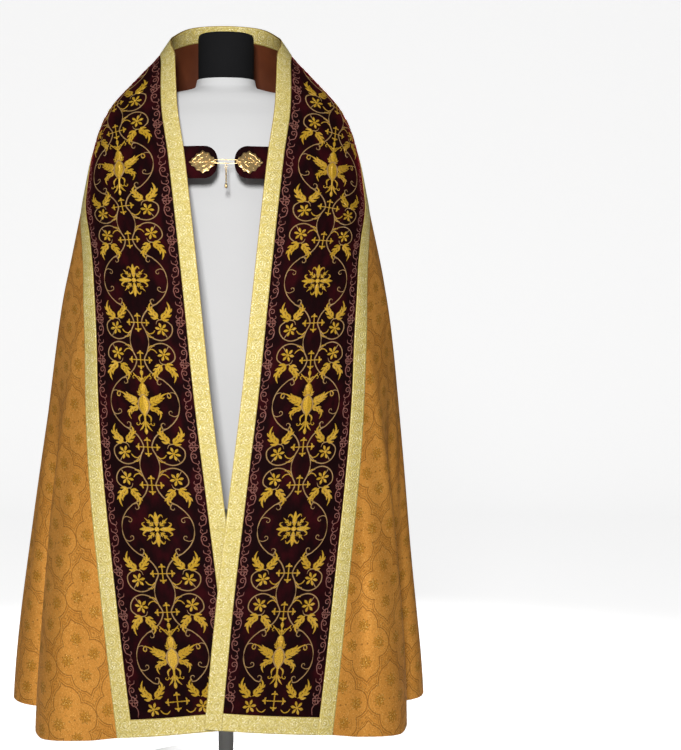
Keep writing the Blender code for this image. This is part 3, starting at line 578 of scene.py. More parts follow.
def band_lay(side, lift=0.0):
    """Lays a chart on a band: across from its middle line, along from the hem. The chart is as wide as the
    velvet at its narrow part, and stretches with it where it is wider."""
    share = np.linspace(0, 1, 360)
    angles, heights = cross_lines(side, share, between_braids(33))
    length = run(bell(angles, heights)[:, 16])

    def lay(across, along_it, height):
        row = np.interp(along_it, length, np.arange(len(share)))
        column = (across / VELVET_WIDTH + 0.5) * 32
        return on_cloth(looked_up(angles, row, column), looked_up(heights, row, column), height + lift)
    return lay


# ---- what is embroidered on the bands ----------------------------------------------------------------
def scrollwork():
    """The vine round one medallion, centred on it and the same four ways: ring, stems, scrolls, flowers,
    leaves."""
    turn = np.radians(np.linspace(0, 47, 9))
    ring = np.c_[72 * np.cos(turn), 61 * np.sin(turn)]
    quarter = [
        drawn(np.r_[ring, [(42, 50), (33, 50)], spiral((37, 43), 7, 120, 0.7)], 2.2, thread=PALE),
        curled(1.6, [(69, 20), (62, 24), (57, 24)], (54, 17), 6, 80, 0.9, thread=PALE),
    ] + stems(
        PALE, (2.6, (43, 50), (26, 59), (13, 74.5), (8.4, 88.6), (15.6, 106), (19.4, 119), (20, 128)),
        (2.4, (15.6, 106), (32.5, 121), (47.5, 124), (63, 118), (72, 104), (72, 94), (62, 84.5), (51, 81),
         (42, 84), (39, 91)), (1.8, (54, 107), (61, 118))
    ) + stems(
        GOLD, (2.4, (16, 105), (23, 111), (31, 109), (36, 103)), (2.4, (18, 112), (24, 118), (32, 118))
    ) + leaves(
        (15, 3, (48, 82), (59, 76), (68, 66), (70, 54), (66, 44)),
        (14, 3, (46, 81), (38, 74), (30, 64), (27, 54), (33, 45))
    ) + flower(np.array((50, 101)), 14, 6, 5.6, 12)
    return four_ways(quarter)


def fleury_cross():
    """The small cross with three-lobed ends that ties the scrolls together, drawn at the origin."""
    arm = both_ways([drawn([(0, 12), (4, 14), (7, 12)], 3.4, "petal")])
    arm += [drawn([(0, 0), (0, 12)], 2.6), drawn([(0, 11), (0, 15), (0, 20)], 5, "petal")]
    long_arm = moved(arm, turn=90, shift=(-5, 0)) + moved(arm, turn=-90, shift=(5, 0))
    return arm + moved(arm, turn=180) + long_arm + [drawn([(-6, 0), (6, 0)], 2.2)]


def palmette():
    """An urn of leaves with a bud above and a foot of sprays, standing up along the band."""
    side = [
        curled(2.2, [(2, 44), (8, 54)], (16, 52), 6, 170, -0.8),
        curled(2.4, [(46, 20), (53, 23)], (52, 16), 5.5, 60, -0.8),
        curled(2.2, [(2, -36), (9, -43)], (16, -41), 5, 160, 0.8),
        drawn([(1, 17), (9, 8), (12, -4), (2, -24)], 3.0, thread=PALE, high=2.0),
    ] + stems(GOLD, (2.4, (2, 42), (9, 51), (14, 56), (19, 62))) + leaves(
        (15, 4, (9, 3), (20, 5), (32, 11), (42, 19), (48, 22)),
        (12, 3, (8, -9), (19, -9), (29, -14), (33, -23), (29, -33)),
        (8, 2, (3, 14), (8, 22), (8, 31))
    ) + blades(3.6, [(5, -22), (12, -29), (11, -39)], [(2, -38), (6, -48), (13, -56)])
    centre = [
        drawn([(0, 54), (0, 60), (0, 68)], 7, "petal"),
        drawn([(0, 42), (0, 30), (0, 16)], 14, "blade", high=1.7),
        drawn([(0, 17), (0, -2), (0, -27)], 22, "blade", high=1.4),
        drawn([(0, 12), (0, -2), (0, -20)], 9, "blade", high=2.0),
        drawn([(0, -48), (0, -55), (0, -63)], 7, "petal"),
        drawn([(-7, 15), (0, 18), (7, 15)], 2.4, thread=PALE, high=2.2),
        knot((0, 50), 3.2), knot((0, 31), 4.5),
    ] + stems(GOLD, (3.4, (0, 57), (0, 44), (0, 34)), (4.5, (0, -20), (0, -40), (0, -50)))
    return both_ways(side) + centre


def cross_rosette():
    """Four lily arms, four diagonal leaves and a domed heart."""
    lily = both_ways(blades(3.6, [(0, 14), (4, 23), (11, 29), (14, 23)]))
    lily += blades(9, [(0, 5), (0, 18), (0, 35)])
    lily.append(drawn([(-6, 14), (0, 12), (6, 14)], 2.2, thread=PALE, high=1.6))
    return four_turns(lily + leaves((8, 2, (6, 6), (14, 14), (23, 23)))) + [knot((0, 0), 5)]


def border_unit():
    """One pair of border scrolls along the border's middle line; six fill the way between two medallions."""
    rose = {"thread": ROSE, "high": 0.5}
    return [
        curled(1.7, [(-6, -21), (-4, -15), (4, -11), (7, -3)], (1, 1), 6.5, 0, 1.25, **rose),
        drawn([(5, -9), (7, 4), (2, 12), (-5, 15), (-6, 21)], 1.7, **rose),
        curled(1.5, [(2, 12), (7, 15)], (4, 18), 3.5, -40, 0.9, **rose),
        drawn([(-4, -15), (-8, -11), (-6, -7)], 1.5, **rose),
    ]


def border_knot():
    """Four small loops round a point."""
    return four_turns([drawn([(0, 1), (3.4, 5), (0, 10), (-3.4, 5), (0, 1.2)], 1.6, thread=ROSE, high=0.5)])


def band_chart():
    """The motifs and the border lines of one band from hem to neck, with palmettes and rosettes by turns."""
    parts, borders = [], []
    for k in range(7):
        middle = MEDALLION_START + MEDALLION_EVERY * k
        parts += moved(scrollwork() + (palmette() if k % 2 == 0 else cross_rosette()), shift=(0, middle))
        for end in (-1, 1):
            parts += moved(fleury_cross(), shift=(0, middle + end * 88.6))
            borders += both_ways(moved(border_knot(), shift=(91, middle + end * 84)))
        for i in range(6):
            place = (90, middle + (i - 2.5) * MEDALLION_EVERY / 6)
            borders += both_ways(moved(border_unit(), across=1 if i % 2 else -1, shift=place))
    low, high = BAND_BRAID * 1000 + 2, BAND_LENGTH * 1000 - 20
    return [[part for part in some if low < part[0][..., 1].min() and part[0][..., 1].max() < high]
            for some in (parts, borders)]


# ---- what is embroidered on the hood -----------------------------------------------------------------
def hood_rosette():
    """Four lilies with curled ends and four feathered fans."""
    lily = both_ways(blades(3.4, [(2, 22), (6, 36), (12, 45), (18, 41), (17, 37)])
                     + blades(4, [(0, 8), (8, 20), (5, 33)]))
    spread_out = [[(5, 5), (17 + 8 * t, 17 - 8 * t), (27 + 10 * t, 27 - 10 * t)] for t in (-1, -0.5, 0, 0.5, 1)]
    fan = blades(3.6, *spread_out)
    made = four_turns(lily + blades(6, [(0, 6), (0, 24), (0, 47)]) + fan) + [knot((0, 0), 5)]
    return moved(made, shift=(0, 154))


def bunch_of_grapes():
    """Round grapes below a leaf, with the tendrils they hang from."""
    places = [(35, 196), (46, 198), (56, 203), (28, 206), (39, 208), (49, 212), (24, 216), (34, 219),
              (44, 222), (29, 228), (39, 231), (33, 240), (22, 227), (53, 192)]
    tendrils = stems(PALE, (2.0, (62, 198), (52, 185), (66, 176), (92, 178), (108, 196), (112, 216)),
                     (1.8, (72, 172), (96, 176), (110, 192), (114, 214)))
    tendrils.append(curled(1.8, [(72, 200), (84, 196)], (76, 190), 7, 60, 1.1, thread=PALE))
    return [knot(place, 5.2) for place in places] + leaves((9, 3, (48, 200), (62, 207), (75, 196))) + tendrils


def vine_leaf(x, y, turn):
    """Five pointed lobes round a point, the longest ahead."""
    size, root, made = 30, np.array([x, y]), []
    for lean, long in ((0, 1.0), (42, 0.85), (-42, 0.85), (88, 0.6), (-88, 0.6)):
        a = np.radians(turn + lean)
        way = np.array([np.cos(a), np.sin(a)]) * size * 0.55 * long
        made.append(drawn([root, root + way * 0.5, root + way], size * 0.36, "leaf"))
    return made


def olive_sprig(leaf, pairs, *points):
    """A thin stem with pairs of narrow leaves of one length."""
    points = np.array(points, float)
    made = [drawn(points, 1.6, thread=PALE)]
    for k in range(pairs):
        root, ahead = place_on(points, run(points)[-1] * (k + 0.7) / pairs, 3.0)
        for s in (-1, 1):
            way = ahead * 0.75 + s * 0.66 * np.array([ahead[1], -ahead[0]])
            made += blades(4.4, [root, root + way * leaf * 0.5, root + way * leaf])
    return made


def many_petalled():
    """The big flower: three rings of pointed petals round a leaning heart."""
    made = []
    for count, reach, width, high in ((15, 1.0, 10, 1.0), (11, 0.70, 9, 1.8), (7, 0.40, 7.5, 2.4)):
        for k in range(count):
            a = 2 * np.pi * (k + 0.3 * (count % 3)) / count
            way = np.array([44 * np.cos(a), 32 * np.sin(a)]) * reach
            bow = np.array([-way[1], way[0]]) * 0.12
            made.append(drawn([(0, 0), way * 0.55 + bow, way], width, "blade", high=high))
    return moved(made, shift=(138, 304))


def hood_chart():
    """Everything on the hood: across from its middle, and down from its top edge."""
    half = leaves(
        (21, 11, (84, 116), (58, 104), (30, 84), (4, 66)),
        (24, 12, (129, 70), (160, 46), (190, 36), (224, 41)),
        (13, 4, (106, 226), (128, 220), (150, 205)), (19, 4, (30, 276), (52, 258), (84, 254), (112, 266)),
        (17, 4, (16, 296), (32, 286), (56, 278), (80, 284)),
        (20, 4, (16, 352), (12, 330), (22, 312), (44, 306)),
        (11, 3, (40, 372), (30, 350), (34, 330), (46, 318)),
        (14, 4, (62, 392), (50, 374), (56, 360), (78, 358)),
        (10, 3, (70, 396), (76, 378), (92, 380)), (14, 4, (79, 239), (104, 238), (131, 246), (158, 262)),
        (17, 3, (150, 250), (176, 254), (208, 242)), (13, 3, (176, 262), (196, 272), (220, 272)),
        (8, 4, (60, 318), (76, 336), (90, 344), (104, 342)), (10, 3, (0, 362), (8, 384), (22, 398)),
        (13, 4, (4, 412), (22, 398), (44, 394), (58, 402), (58, 412), (52, 415)),
        (8, 3, (4, 418), (16, 428), (40, 438)),
        (8, 3, (6, 410), (18, 424), (30, 428)))
    half += stems(
        GOLD, (3.2, (84, 116), (112, 126), (135, 142), (150, 162), (143, 195)),
        (3.2, (129, 70), (124, 92), (140, 128), (153, 158), (146, 195)),
        (3.2, (78, 240), (110, 236), (140, 246), (166, 254)),
        (5, (145, 190), (136, 208), (113, 222), (79, 239), (44, 257), (19, 278), (9, 306), (9, 327),
         (19, 351), (44, 377), (79, 401), (100, 415)),
        (5, (40, 308), (48, 303), (58, 310), (64, 328), (76, 346), (99, 360), (134, 363), (169, 354),
         (196, 330)))
    half += stems(
        PALE, (2.0, (58, 308), (70, 296), (96, 292)), (1.6, (26, 396), (46, 384), (70, 388), (98, 398)),
        (2.4, (141, 163), (160, 160), (183, 152), (206, 142), (216, 124), (211, 102), (196, 88), (176, 88),
         (160, 100), (156, 116)),
        (2.2, (162, 160), (188, 150), (208, 158), (218, 180), (208, 200), (192, 203), (176, 204)))
    half += blades(
        6, [(150, 165), (146, 148), (122, 126), (95, 102), (86, 84), (94, 66), (106, 50), (105, 36)],
        [(150, 170), (142, 146), (128, 112), (114, 90), (100, 80)],
        [(152, 150), (138, 118), (139, 96), (152, 80), (178, 72), (200, 66)],
        [(146, 180), (138, 156), (108, 143), (80, 136), (70, 126)],
        [(146, 186), (138, 164), (112, 156), (86, 154), (66, 168), (54, 184)],
        [(122, 100), (120, 88), (100, 80)],
        [(166, 254), (184, 267), (198, 288), (203, 313), (190, 334), (170, 338), (164, 328)])
    half += blades(4.5, [(0, 272), (9, 262), (20, 262), (24, 270)])
    half += blades(8, [(4, 422), (8, 436), (14, 442)])
    half += blades(5, [(24, 396), (26, 382), (26, 372)])
    half.append(curled(3, [(134, 212), (140, 204), (138, 196)], (130, 196), 8, 0, -0.8))
    for curl in ((2.2, [(190, 300), (184, 308)], (178, 300), 7, 60, 1.0),
                 (2.4, [(186, 346), (190, 362), (200, 366)], (200, 360), 6, 90, -0.9),
                 (1.8, [(214, 190), (206, 180)], (203, 172), 6, 60, 1.1),
                 (1.8, [(196, 204), (196, 214)], (204, 215), 6, 180, -1.0)):
        half.append(curled(*curl, thread=PALE))
    for leaf in ((208, 84, -80), (176, 118, 0), (172, 144, 90), (182, 182, 20), (170, 220, 100)):
        half += vine_leaf(*leaf)
    for sprig in ((15, 5, (92, 384), (112, 376), (134, 372), (150, 384), (172, 374)),
                  (15, 4, (96, 366), (106, 386), (124, 398), (150, 410), (164, 404)),
                  (12, 3, (84, 372), (92, 352), (110, 340), (130, 346)),
                  (12, 3, (150, 372), (150, 356), (160, 340))):
        half += olive_sprig(*sprig)
    half += many_petalled() + bunch_of_grapes()
    centre = stems(PALE, (3.2, (0, 362), (0, 320), (0, 272))) + [knot((0, 414), 8)] + leaves(
        (9, 3, (0, 276), (0, 262), (0, 246)), (22, 4, (0, 412), (0, 388), (0, 360)),
        (12, 3, (0, 410), (0, 430), (0, 448)))
    return both_ways(half) + centre + hood_rosette()


def hood_side(height):
    """The angle of the hood's side at a height."""
    return through(height, HOOD_SIDE)


def hood_top(angle):
    """Height of the hood's top edge, just under the yoke's lower braid."""
    edge = outer_edge()
    return np.interp(-np.abs(angle), -edge[0], edge[1]) - HOOD_TUCK


def hood_foot(across):
    """Height of the foot, a flat arc whose corners follow |across|^p + |rise|^p = 1."""
    return HOOD_FOOT + HOOD_CORNER * (1 - (1 - np.abs(across) ** HOOD_POWER) ** (1 / HOOD_POWER))


def hood_stand(down):
    """Lift of the hood's inner face, which rises from the seam to where it hangs free."""
    return HOOD_REST + HOOD_STAND * smooth(down, 0, 0.4)


def hood_points(across, down):
    """Angle, height and lift of the hood's inner face; across is -1 to 1, down is 0 to 1."""
    top = hood_top(across * hood_side(PANEL_TOP))
    height = top + down * (hood_foot(across) - top)
    return across * hood_side(height), height, hood_stand(down) + 0 * across


def hood_lift(angle, height):
    """Lift of the hood's outer face at a place on the bell."""
    across = np.clip(np.abs(angle) / hood_side(height), 0, 1)
    top = hood_top(across * hood_side(PANEL_TOP))
    return hood_stand((top - height) / (top - hood_foot(across))) + HOOD_WALL


def hood_lay(lift=0.0):
    """Lays a chart on the hood: across from its middle along each level ring, down along its middle line."""
    top = hood_top(0.0)
    heights = np.linspace(top, HOOD_FOOT - 0.02, 50)
    angles = np.linspace(0, 90, 181)
    down = run(lifted_hood(0 * heights, heights))
    round_it = run(lifted_hood(angles[:, None], heights[None]))
    reach = np.linspace(0, 0.42, 85)
    turned = np.array([np.interp(reach, round_it[:, i], angles) for i in range(len(heights))])

    def lay(across, below, height):
        row = np.interp(below, down, np.arange(len(heights)))
        angle = np.sign(across) * looked_up(turned, row, np.abs(across) * HOOD_CHART_WIDTH / reach[1])
        level = np.interp(below, down, heights)
        return on_cloth(angle, level, hood_lift(angle, level) + height + lift)
    return lay


def lifted_hood(angle, height):
    """Points of the hood's outer face."""
    return on_cloth(*np.broadcast_arrays(angle, height), hood_lift(angle, height))


def hood_outline(count, foot=19):
    """Down one side, along the foot and up the other, as angles, heights and lifts."""
    down = np.linspace(0, 1, count)[:-1]
    across = np.sin(np.linspace(-1, 1, foot) * np.pi / 2)
    path = [np.r_[-np.ones(len(down)), across, np.ones(len(down))], np.r_[down, np.ones(foot), down[::-1]]]
    return hood_points(*path)


def beside(angle, height):
    """Unit steps sideways on the cloth, outwards from the hood's outline."""
    sideways = np.cross(outwards(angle, height), np.gradient(bell(angle, height), axis=0))
    return sideways / np.linalg.norm(sideways, axis=-1, keepdims=True)


# ---- node trees --------------------------------------------------------------------------------------
class Value:
    """A number in a node tree; the usual signs add Math nodes to it."""

    def __init__(self, tree, socket):
        self.tree, self.socket = tree, socket

    def calc(self, operation, *others):
        node = self.tree.nodes.new("ShaderNodeMath")
        node.operation = operation
        for slot, value in zip(node.inputs, (self,) + others):
            feed(self.tree, slot, value)
        return Value(self.tree, node.outputs[0])

    def __add__(self, other):
        return self.calc("ADD", other)

    def __sub__(self, other):
        return self.calc("SUBTRACT", other)

    def __mul__(self, other):
        return self.calc("MULTIPLY", other)

    def __truediv__(self, other):
        return self.calc("DIVIDE", other)

    def __abs__(self):
        return self.calc("ABSOLUTE")

    def slope(self, low, high):
        """0 at low, 1 at high, with an easy slope; low may be the greater."""
        node = self.tree.nodes.new("ShaderNodeMapRange")
        node.interpolation_type = "SMOOTHSTEP"
        feed(self.tree, node.inputs["Value"], self)
        node.inputs["From Min"].default_value = min(low, high)
        node.inputs["From Max"].default_value = max(low, high)
        if low > high:
            node.inputs["To Min"].default_value, node.inputs["To Max"].default_value = 1.0, 0.0
        return Value(self.tree, node.outputs["Result"])


def feed(tree, slot, value):
    """Links a socket or sets a plain value."""
    if isinstance(value, Value):
        tree.links.new(value.socket, slot)
    elif isinstance(value, bpy.types.NodeSocket):
        tree.links.new(value, slot)
    else:
        slot.default_value = value


def longest(x, y):
    """Length of the vector (x, y)."""
    return (x * x + y * y).calc("SQRT")


def parted(tree, vector):
    """The first two parts of a vector, as numbers."""
    node = tree.nodes.new("ShaderNodeSeparateXYZ")
    tree.links.new(vector, node.inputs[0])
    return Value(tree, node.outputs[0]), Value(tree, node.outputs[1])


def scaled(tree, vector, by):
    """A vector times three numbers."""
    node = tree.nodes.new("ShaderNodeVectorMath")
    node.operation = "MULTIPLY"
    tree.links.new(vector, node.inputs[0])
    node.inputs[1].default_value = by
    return node.outputs[0]


def noise(tree, vector, scale, detail=2.0, rough=0.5):
    """Soft noise from 0 to 1."""
    node = tree.nodes.new("ShaderNodeTexNoise")
    tree.links.new(vector, node.inputs["Vector"])
    for name, value in (("Scale", scale), ("Detail", detail), ("Roughness", rough)):
        node.inputs[name].default_value = value
    return Value(tree, node.outputs["Fac"])


def cells(tree, vector, scale):
    """(distance to the nearest cell's point, a random number for the cell)."""
    node = tree.nodes.new("ShaderNodeTexVoronoi")
    tree.links.new(vector, node.inputs["Vector"])
    node.inputs["Scale"].default_value = scale
    return Value(tree, node.outputs["Distance"]), parted(tree, node.outputs["Color"])[0]


def blended(tree, mask, low, high):
    """A colour that goes from low to high with the mask."""
    node = tree.nodes.new("ShaderNodeMix")
    node.data_type = "RGBA"
    feed(tree, node.inputs["Factor"], mask)
    for slot, value in ((node.inputs["A"], low), (node.inputs["B"], high)):
        feed(tree, slot, value if isinstance(value, bpy.types.NodeSocket) else (*value, 1.0))
    return node.outputs["Result"]


def shared(name, inputs, outputs, fill):
    """A shader node group; fill(tree, inputs by name) gives its outputs by name."""
    if name in bpy.data.node_groups:
        return bpy.data.node_groups[name]
    tree = bpy.data.node_groups.new(name, "ShaderNodeTree")
    for word, kind, value in inputs:
        socket = tree.interface.new_socket(word, in_out="INPUT", socket_type=kind)
        if value is not None:
            socket.default_value = value
    for word in outputs:
        tree.interface.new_socket(word, in_out="OUTPUT", socket_type="NodeSocketFloat")
    start, end = tree.nodes.new("NodeGroupInput"), tree.nodes.new("NodeGroupOutput")
    made = fill(tree, start.outputs)
    for word in outputs:
        tree.links.new(made[word].socket, end.inputs[word])
    return tree


def used(tree, group, **inputs):
    """The outputs of a node group placed in a material, as numbers by name."""
    node = tree.nodes.new("ShaderNodeGroup")
    node.node_tree = group
    for word, value in inputs.items():
        feed(tree, node.inputs[word], value)
    return {socket.name: Value(tree, socket) for socket in node.outputs}


def weave_group():
    """Over and under of a plain weave: sin(x) sin(y) of the chart at a thread's pitch, with a little
    unevenness."""
    def fill(tree, given):
        x, y = parted(tree, given["Chart"])
        pitch = Value(tree, given["Pitch"])
        over = (x / pitch * 6.2832).calc("SINE") * (y / pitch * 6.2832).calc("SINE")
        uneven = noise(tree, given["Chart"], 900.0, 2.0)
        return {"Height": over * 0.5 + uneven, "Uneven": uneven}
    return shared("woven", [("Chart", "NodeSocketVector", None), ("Pitch", "NodeSocketFloat", 0.001)],
                  ["Height", "Uneven"], fill)


def glint_group():
    """Single threads that glint: cells a size across, the ones with the highest random number give the mask for
    painted glints.
    """
    def fill(tree, given):
        node = tree.nodes.new("ShaderNodeVectorMath")
        node.operation = "SCALE"
        tree.links.new(given["Chart"], node.inputs[0])
        tree.links.new(Value(tree, given["Size"]).calc("POWER", -1.0).socket, node.inputs["Scale"])
        near, chance = cells(tree, node.outputs[0], 1.0)
        return {"Glint": chance.slope(0.62, 0.98) * near.slope(0.62, 0.2), "Chance": chance}
    return shared("thread glint", [("Chart", "NodeSocketVector", None), ("Size", "NodeSocketFloat", 0.002)],
                  ["Glint", "Chance"], fill)


def scroll_group():
    """Braid ornament: curls by turns left and right of the middle, r / pitch - turn / 2 pi, on a running
    wave."""
    def fill(tree, given):
        x, y = parted(tree, given["Chart"])
        step = Value(tree, given["Step"])
        k = (y / step).calc("ROUND")
        side = (k.calc("PINGPONG", 1.0) * -2.0) + 1.0
        far = y - k * step
        aside = x * side - step * 0.16
        reach = longest(aside, far)
        curl = (reach / (step * 0.2) - far.calc("ARCTAN2", aside) / 6.2832).calc("FRACT")
        line = abs(curl - 0.5).slope(0.14, 0.30) * reach.slope(0.0108, 0.0095)
        wave = abs(x + (y / step * 3.14159).calc("COSINE") * (step * 0.44))
        inside, outside = abs(x).slope(0.0120, 0.0135), abs(x).slope(0.0160, 0.0148)
        leaf = abs((y / step * 9.4248).calc("SINE")) * inside * outside
        both = line.calc("MAXIMUM", wave.slope(0.0016, 0.0008) * reach.slope(0.0085, 0.0105))
        return {"Ornament": both.calc("MAXIMUM", leaf * 0.8), "Edge": abs(x).slope(0.0158, 0.0164)}
    return shared("braid scrolls", [("Chart", "NodeSocketVector", None), ("Step", "NodeSocketFloat", 0.024)],
                  ["Ornament", "Edge"], fill)


def damask_group():
    """The figured ground: quatrefoils with pointed sides in half drop, 230 mm apart in a row and 113 mm
    along. Each is the union of two round lobes and two pointed ones; four flowers, dots and dashes lie in
    and between them."""
    def fill(tree, given):
        x, y = parted(tree, given["Chart"])
        across, along_it, low = 0.230, 0.113, 0.0305     # the repeat, and a flower's place in a round lobe
        lobes, flowers, rings = [], [], []
        for drop in (0.0, 0.5):
            u = abs(x + drop * across - ((x + drop * across) / across).calc("ROUND") * across)
            v = abs(y + drop * along_it - ((y + drop * along_it) / along_it).calc("ROUND") * along_it)
            top = longest(u, v - 0.027) - 0.0292
            round_side = longest(u - 0.037, v) - 0.0310
            point = ((u + v * 1.15) - 0.077) * 0.66
            side = round_side.calc("MINIMUM", point.calc("MAXIMUM", u * -1.0 + 0.052))
            lobes.append(top.calc("MINIMUM", side))
            aside = longest(u, v - low).calc("GREATER_THAN", longest(u - 0.0365, v))
            fx, fy = u - aside * 0.0365, v - aside * -low - low
            near = longest(fx, fy)
            petals = (fy.calc("ARCTAN2", fx) * 8.0).calc("COSINE")
            rim, inner = near - petals * 0.0024 - 0.0108, near + petals * 0.0014 - 0.0056
            flowers.append(rim.slope(0.0003, -0.0006))
            ring = abs(rim).slope(0.0011, 0.0004).calc("MAXIMUM", abs(inner).slope(0.0009, 0.0003))
            heart = near.slope(0.0024, 0.0014).calc("MAXIMUM", longest(u, v - 0.006).slope(0.0026, 0.0016))
            rings.append(ring.calc("MAXIMUM", heart))
        lobes = lobes[0].calc("MINIMUM", lobes[1])
        flowers, rings = (pair[0].calc("MAXIMUM", pair[1]) for pair in (flowers, rings))
        wobble = (noise(tree, given["Chart"], 45.0, 1.0) - 0.5) * 0.004
        lobes = lobes + wobble
        line = abs(lobes).slope(0.0013, 0.0007).calc("MAXIMUM",
                                                     abs(lobes - 0.0044).slope(0.0010, 0.0005) * 0.75)
        dash = lobes.slope(0.0062, 0.0075) * ((x + y) * 560.0).calc("SINE").slope(0.35, 0.8)
        dash = dash * ((x - y) * 330.0).calc("SINE").slope(0.1, 0.6)
        near, chance = cells(tree, given["Chart"], 340.0)
        stipple = chance.slope(0.50, 0.62) * near.slope(0.62, 0.40)
        return {"Line": line.calc("MAXIMUM", rings * 0.9).calc("MAXIMUM", dash * 0.8), "Flower": flowers,
                "Stipple": stipple, "Inside": lobes.slope(0.0, -0.002)}
    return shared("figured ground", [("Chart", "NodeSocketVector", None)],
                  ["Line", "Flower", "Stipple", "Inside"], fill)


# ---- finishes ----------------------------------------------------------------------------------------
def finish_of(name, roughness, metallic=0.0, **fixed):
    """A new material: (material, node tree, shader, its chart's coordinates)."""
    mat = bpy.data.materials.new(name)
    mat.use_nodes = True
    tree = mat.node_tree
    shader = tree.nodes["Principled BSDF"]
    shader.inputs["Roughness"].default_value = roughness
    shader.inputs["Metallic"].default_value = metallic
    for word, value in fixed.items():
        shader.inputs[word.replace("_", " ")].default_value = value
    chart = tree.nodes.new("ShaderNodeUVMap")
    chart.uv_map = "chart"
    return mat, tree, shader, chart.outputs["UV"]


def layered(tree, shader, ground, *layers):
    """The base colour: each layer is a mask and the colour that it brings in over those before it."""
    for mask, colour in layers:
        ground = blended(tree, mask, ground, colour)
    tree.links.new(ground, shader.inputs["Base Color"])


def raised(tree, shader, height, distance, strength):
    """A bump of a height mask, distance deep."""
    bump = tree.nodes.new("ShaderNodeBump")
    bump.inputs["Distance"].default_value = distance
    bump.inputs["Strength"].default_value = strength
    feed(tree, bump.inputs["Height"], height)
    tree.links.new(bump.outputs["Normal"], shader.inputs["Normal"])


def brocade_finish():
    """Gold ground with dark lines round its figures, yellower flowers and painted glints of single threads."""
    mat, tree, shader, chart = finish_of("gold brocade", 0.5, Specular_IOR_Level=0.3)
    figure = used(tree, damask_group(), Chart=chart)
    glint = used(tree, glint_group(), Chart=chart, Size=0.0022)
    woven = used(tree, weave_group(), Chart=chart, Pitch=0.0009)
    cloud = noise(tree, chart, 7.0, 3.0)
    # painted glint: glinting threads are painted pale gold in the base colour, more in the flowers, and are
    # made more metallic and smoother
    painted_glint = glint["Glint"] * (figure["Flower"] * 0.5 + 0.45)
    layered(tree, shader, blended(tree, cloud.slope(0.3, 0.7), (0.56, 0.236, 0.034), (0.64, 0.282, 0.046)),
            (figure["Inside"] * 0.20, (0.74, 0.350, 0.070)),
            (glint["Chance"].slope(0.30, 0.05) * 0.30, (0.24, 0.085, 0.010)),
            (figure["Flower"] * 0.60, (0.46, 0.205, 0.012)),
            (figure["Flower"] * figure["Stipple"] * 0.35, (0.20, 0.090, 0.008)),
            (figure["Line"] * 0.66, (0.20, 0.075, 0.010)),
            (painted_glint, (0.92, 0.62, 0.19)))
    feed(tree, shader.inputs["Metallic"], painted_glint * 0.3 + 0.62)
    feed(tree, shader.inputs["Roughness"], painted_glint * -0.2 + 0.62)
    raised(tree, shader, woven["Height"] * 0.3 + figure["Line"] * -0.6 + figure["Flower"] * 0.5, 0.0004, 0.7)
    return mat


def velvet_finish():
    """Nearly black wine pile with a red sheen, crushed a little along its length."""
    mat, tree, shader, chart = finish_of("wine velvet", 0.85, Specular_IOR_Level=0.06, Sheen_Weight=0.42,
                                         Sheen_Roughness=0.30, Sheen_Tint=(0.55, 0.012, 0.03, 1))
    crushed = noise(tree, scaled(tree, chart, (1.0, 0.6, 1.0)), 22.0, 4.0, 0.6)
    pile = noise(tree, chart, 1500.0, 2.0)
    layered(tree, shader,
            blended(tree, crushed.slope(0.42, 0.72), (0.0050, 0.0004, 0.0008), (0.024, 0.0010, 0.0024)))
    raised(tree, shader, crushed * 0.7 + pile * 0.3, 0.0012, 0.5)
    return mat


def braid_finish():
    """Pale gold with raised scrolls, painted glints of single threads and darker edges."""
    mat, tree, shader, chart = finish_of("gold braid", 0.38, Specular_IOR_Level=0.5)
    scroll = used(tree, scroll_group(), Chart=chart, Step=0.024)
    glint = used(tree, glint_group(), Chart=chart, Size=0.0026)
    woven = used(tree, weave_group(), Chart=chart, Pitch=0.0012)
    # the glint layer is a painted glint: threads that glint are painted near white, and are also more metallic
    layered(tree, shader,
            blended(tree, woven["Uneven"].slope(0.3, 0.7), (0.50, 0.385, 0.085), (0.68, 0.55, 0.16)),
            (scroll["Ornament"] * 0.42, (0.86, 0.78, 0.42)), (glint["Glint"] * 0.9, (1.0, 0.95, 0.70)),
            (glint["Chance"].slope(0.25, 0.05) * 0.45, (0.34, 0.23, 0.035)),
            (scroll["Edge"] * 0.5, (0.42, 0.29, 0.06)))
    feed(tree, shader.inputs["Metallic"], glint["Glint"] * 0.35 + 0.25)
    feed(tree, shader.inputs["Roughness"], woven["Uneven"] * 0.2 + 0.32)
    raised(tree, shader, scroll["Ornament"] * 1.2 + woven["Height"] * 0.4 - scroll["Edge"] * 0.8, 0.0006, 0.9)
    return mat


def plain_braid_finish():
    """Duller gold in a coarse plain weave."""
    mat, tree, shader, chart = finish_of("hood edging braid", 0.45, Specular_IOR_Level=0.4)
    woven = used(tree, weave_group(), Chart=chart, Pitch=0.0022)
    glint = used(tree, glint_group(), Chart=chart, Size=0.0022)
    # the glint layer is a painted glint: threads that glint are painted pale gold, and are also more metallic
    layered(tree, shader,
            blended(tree, woven["Uneven"].slope(0.3, 0.7), (0.42, 0.33, 0.115), (0.60, 0.50, 0.21)),
            (glint["Glint"] * 0.5, (0.85, 0.78, 0.48)))
    feed(tree, shader.inputs["Metallic"], glint["Glint"] * 0.3 + 0.15)
    raised(tree, shader, woven["Height"], 0.0007, 0.8)
    return mat


def lining_finish():
    """Smooth rust cloth, clouded a little."""
    mat, tree, shader, chart = finish_of("rust lining", 0.42, Specular_IOR_Level=0.4, Sheen_Weight=0.15,
                                         Sheen_Tint=(0.9, 0.4, 0.2, 1))
    woven = used(tree, weave_group(), Chart=chart, Pitch=0.0008)
    cloud = noise(tree, chart, 12.0, 3.0)
    layered(tree, shader, blended(tree, cloud.slope(0.3, 0.7), (0.070, 0.016, 0.005), (0.105, 0.026, 0.008)))
    raised(tree, shader, woven["Height"] * 0.4 + cloud, 0.0004, 0.5)
    return mat


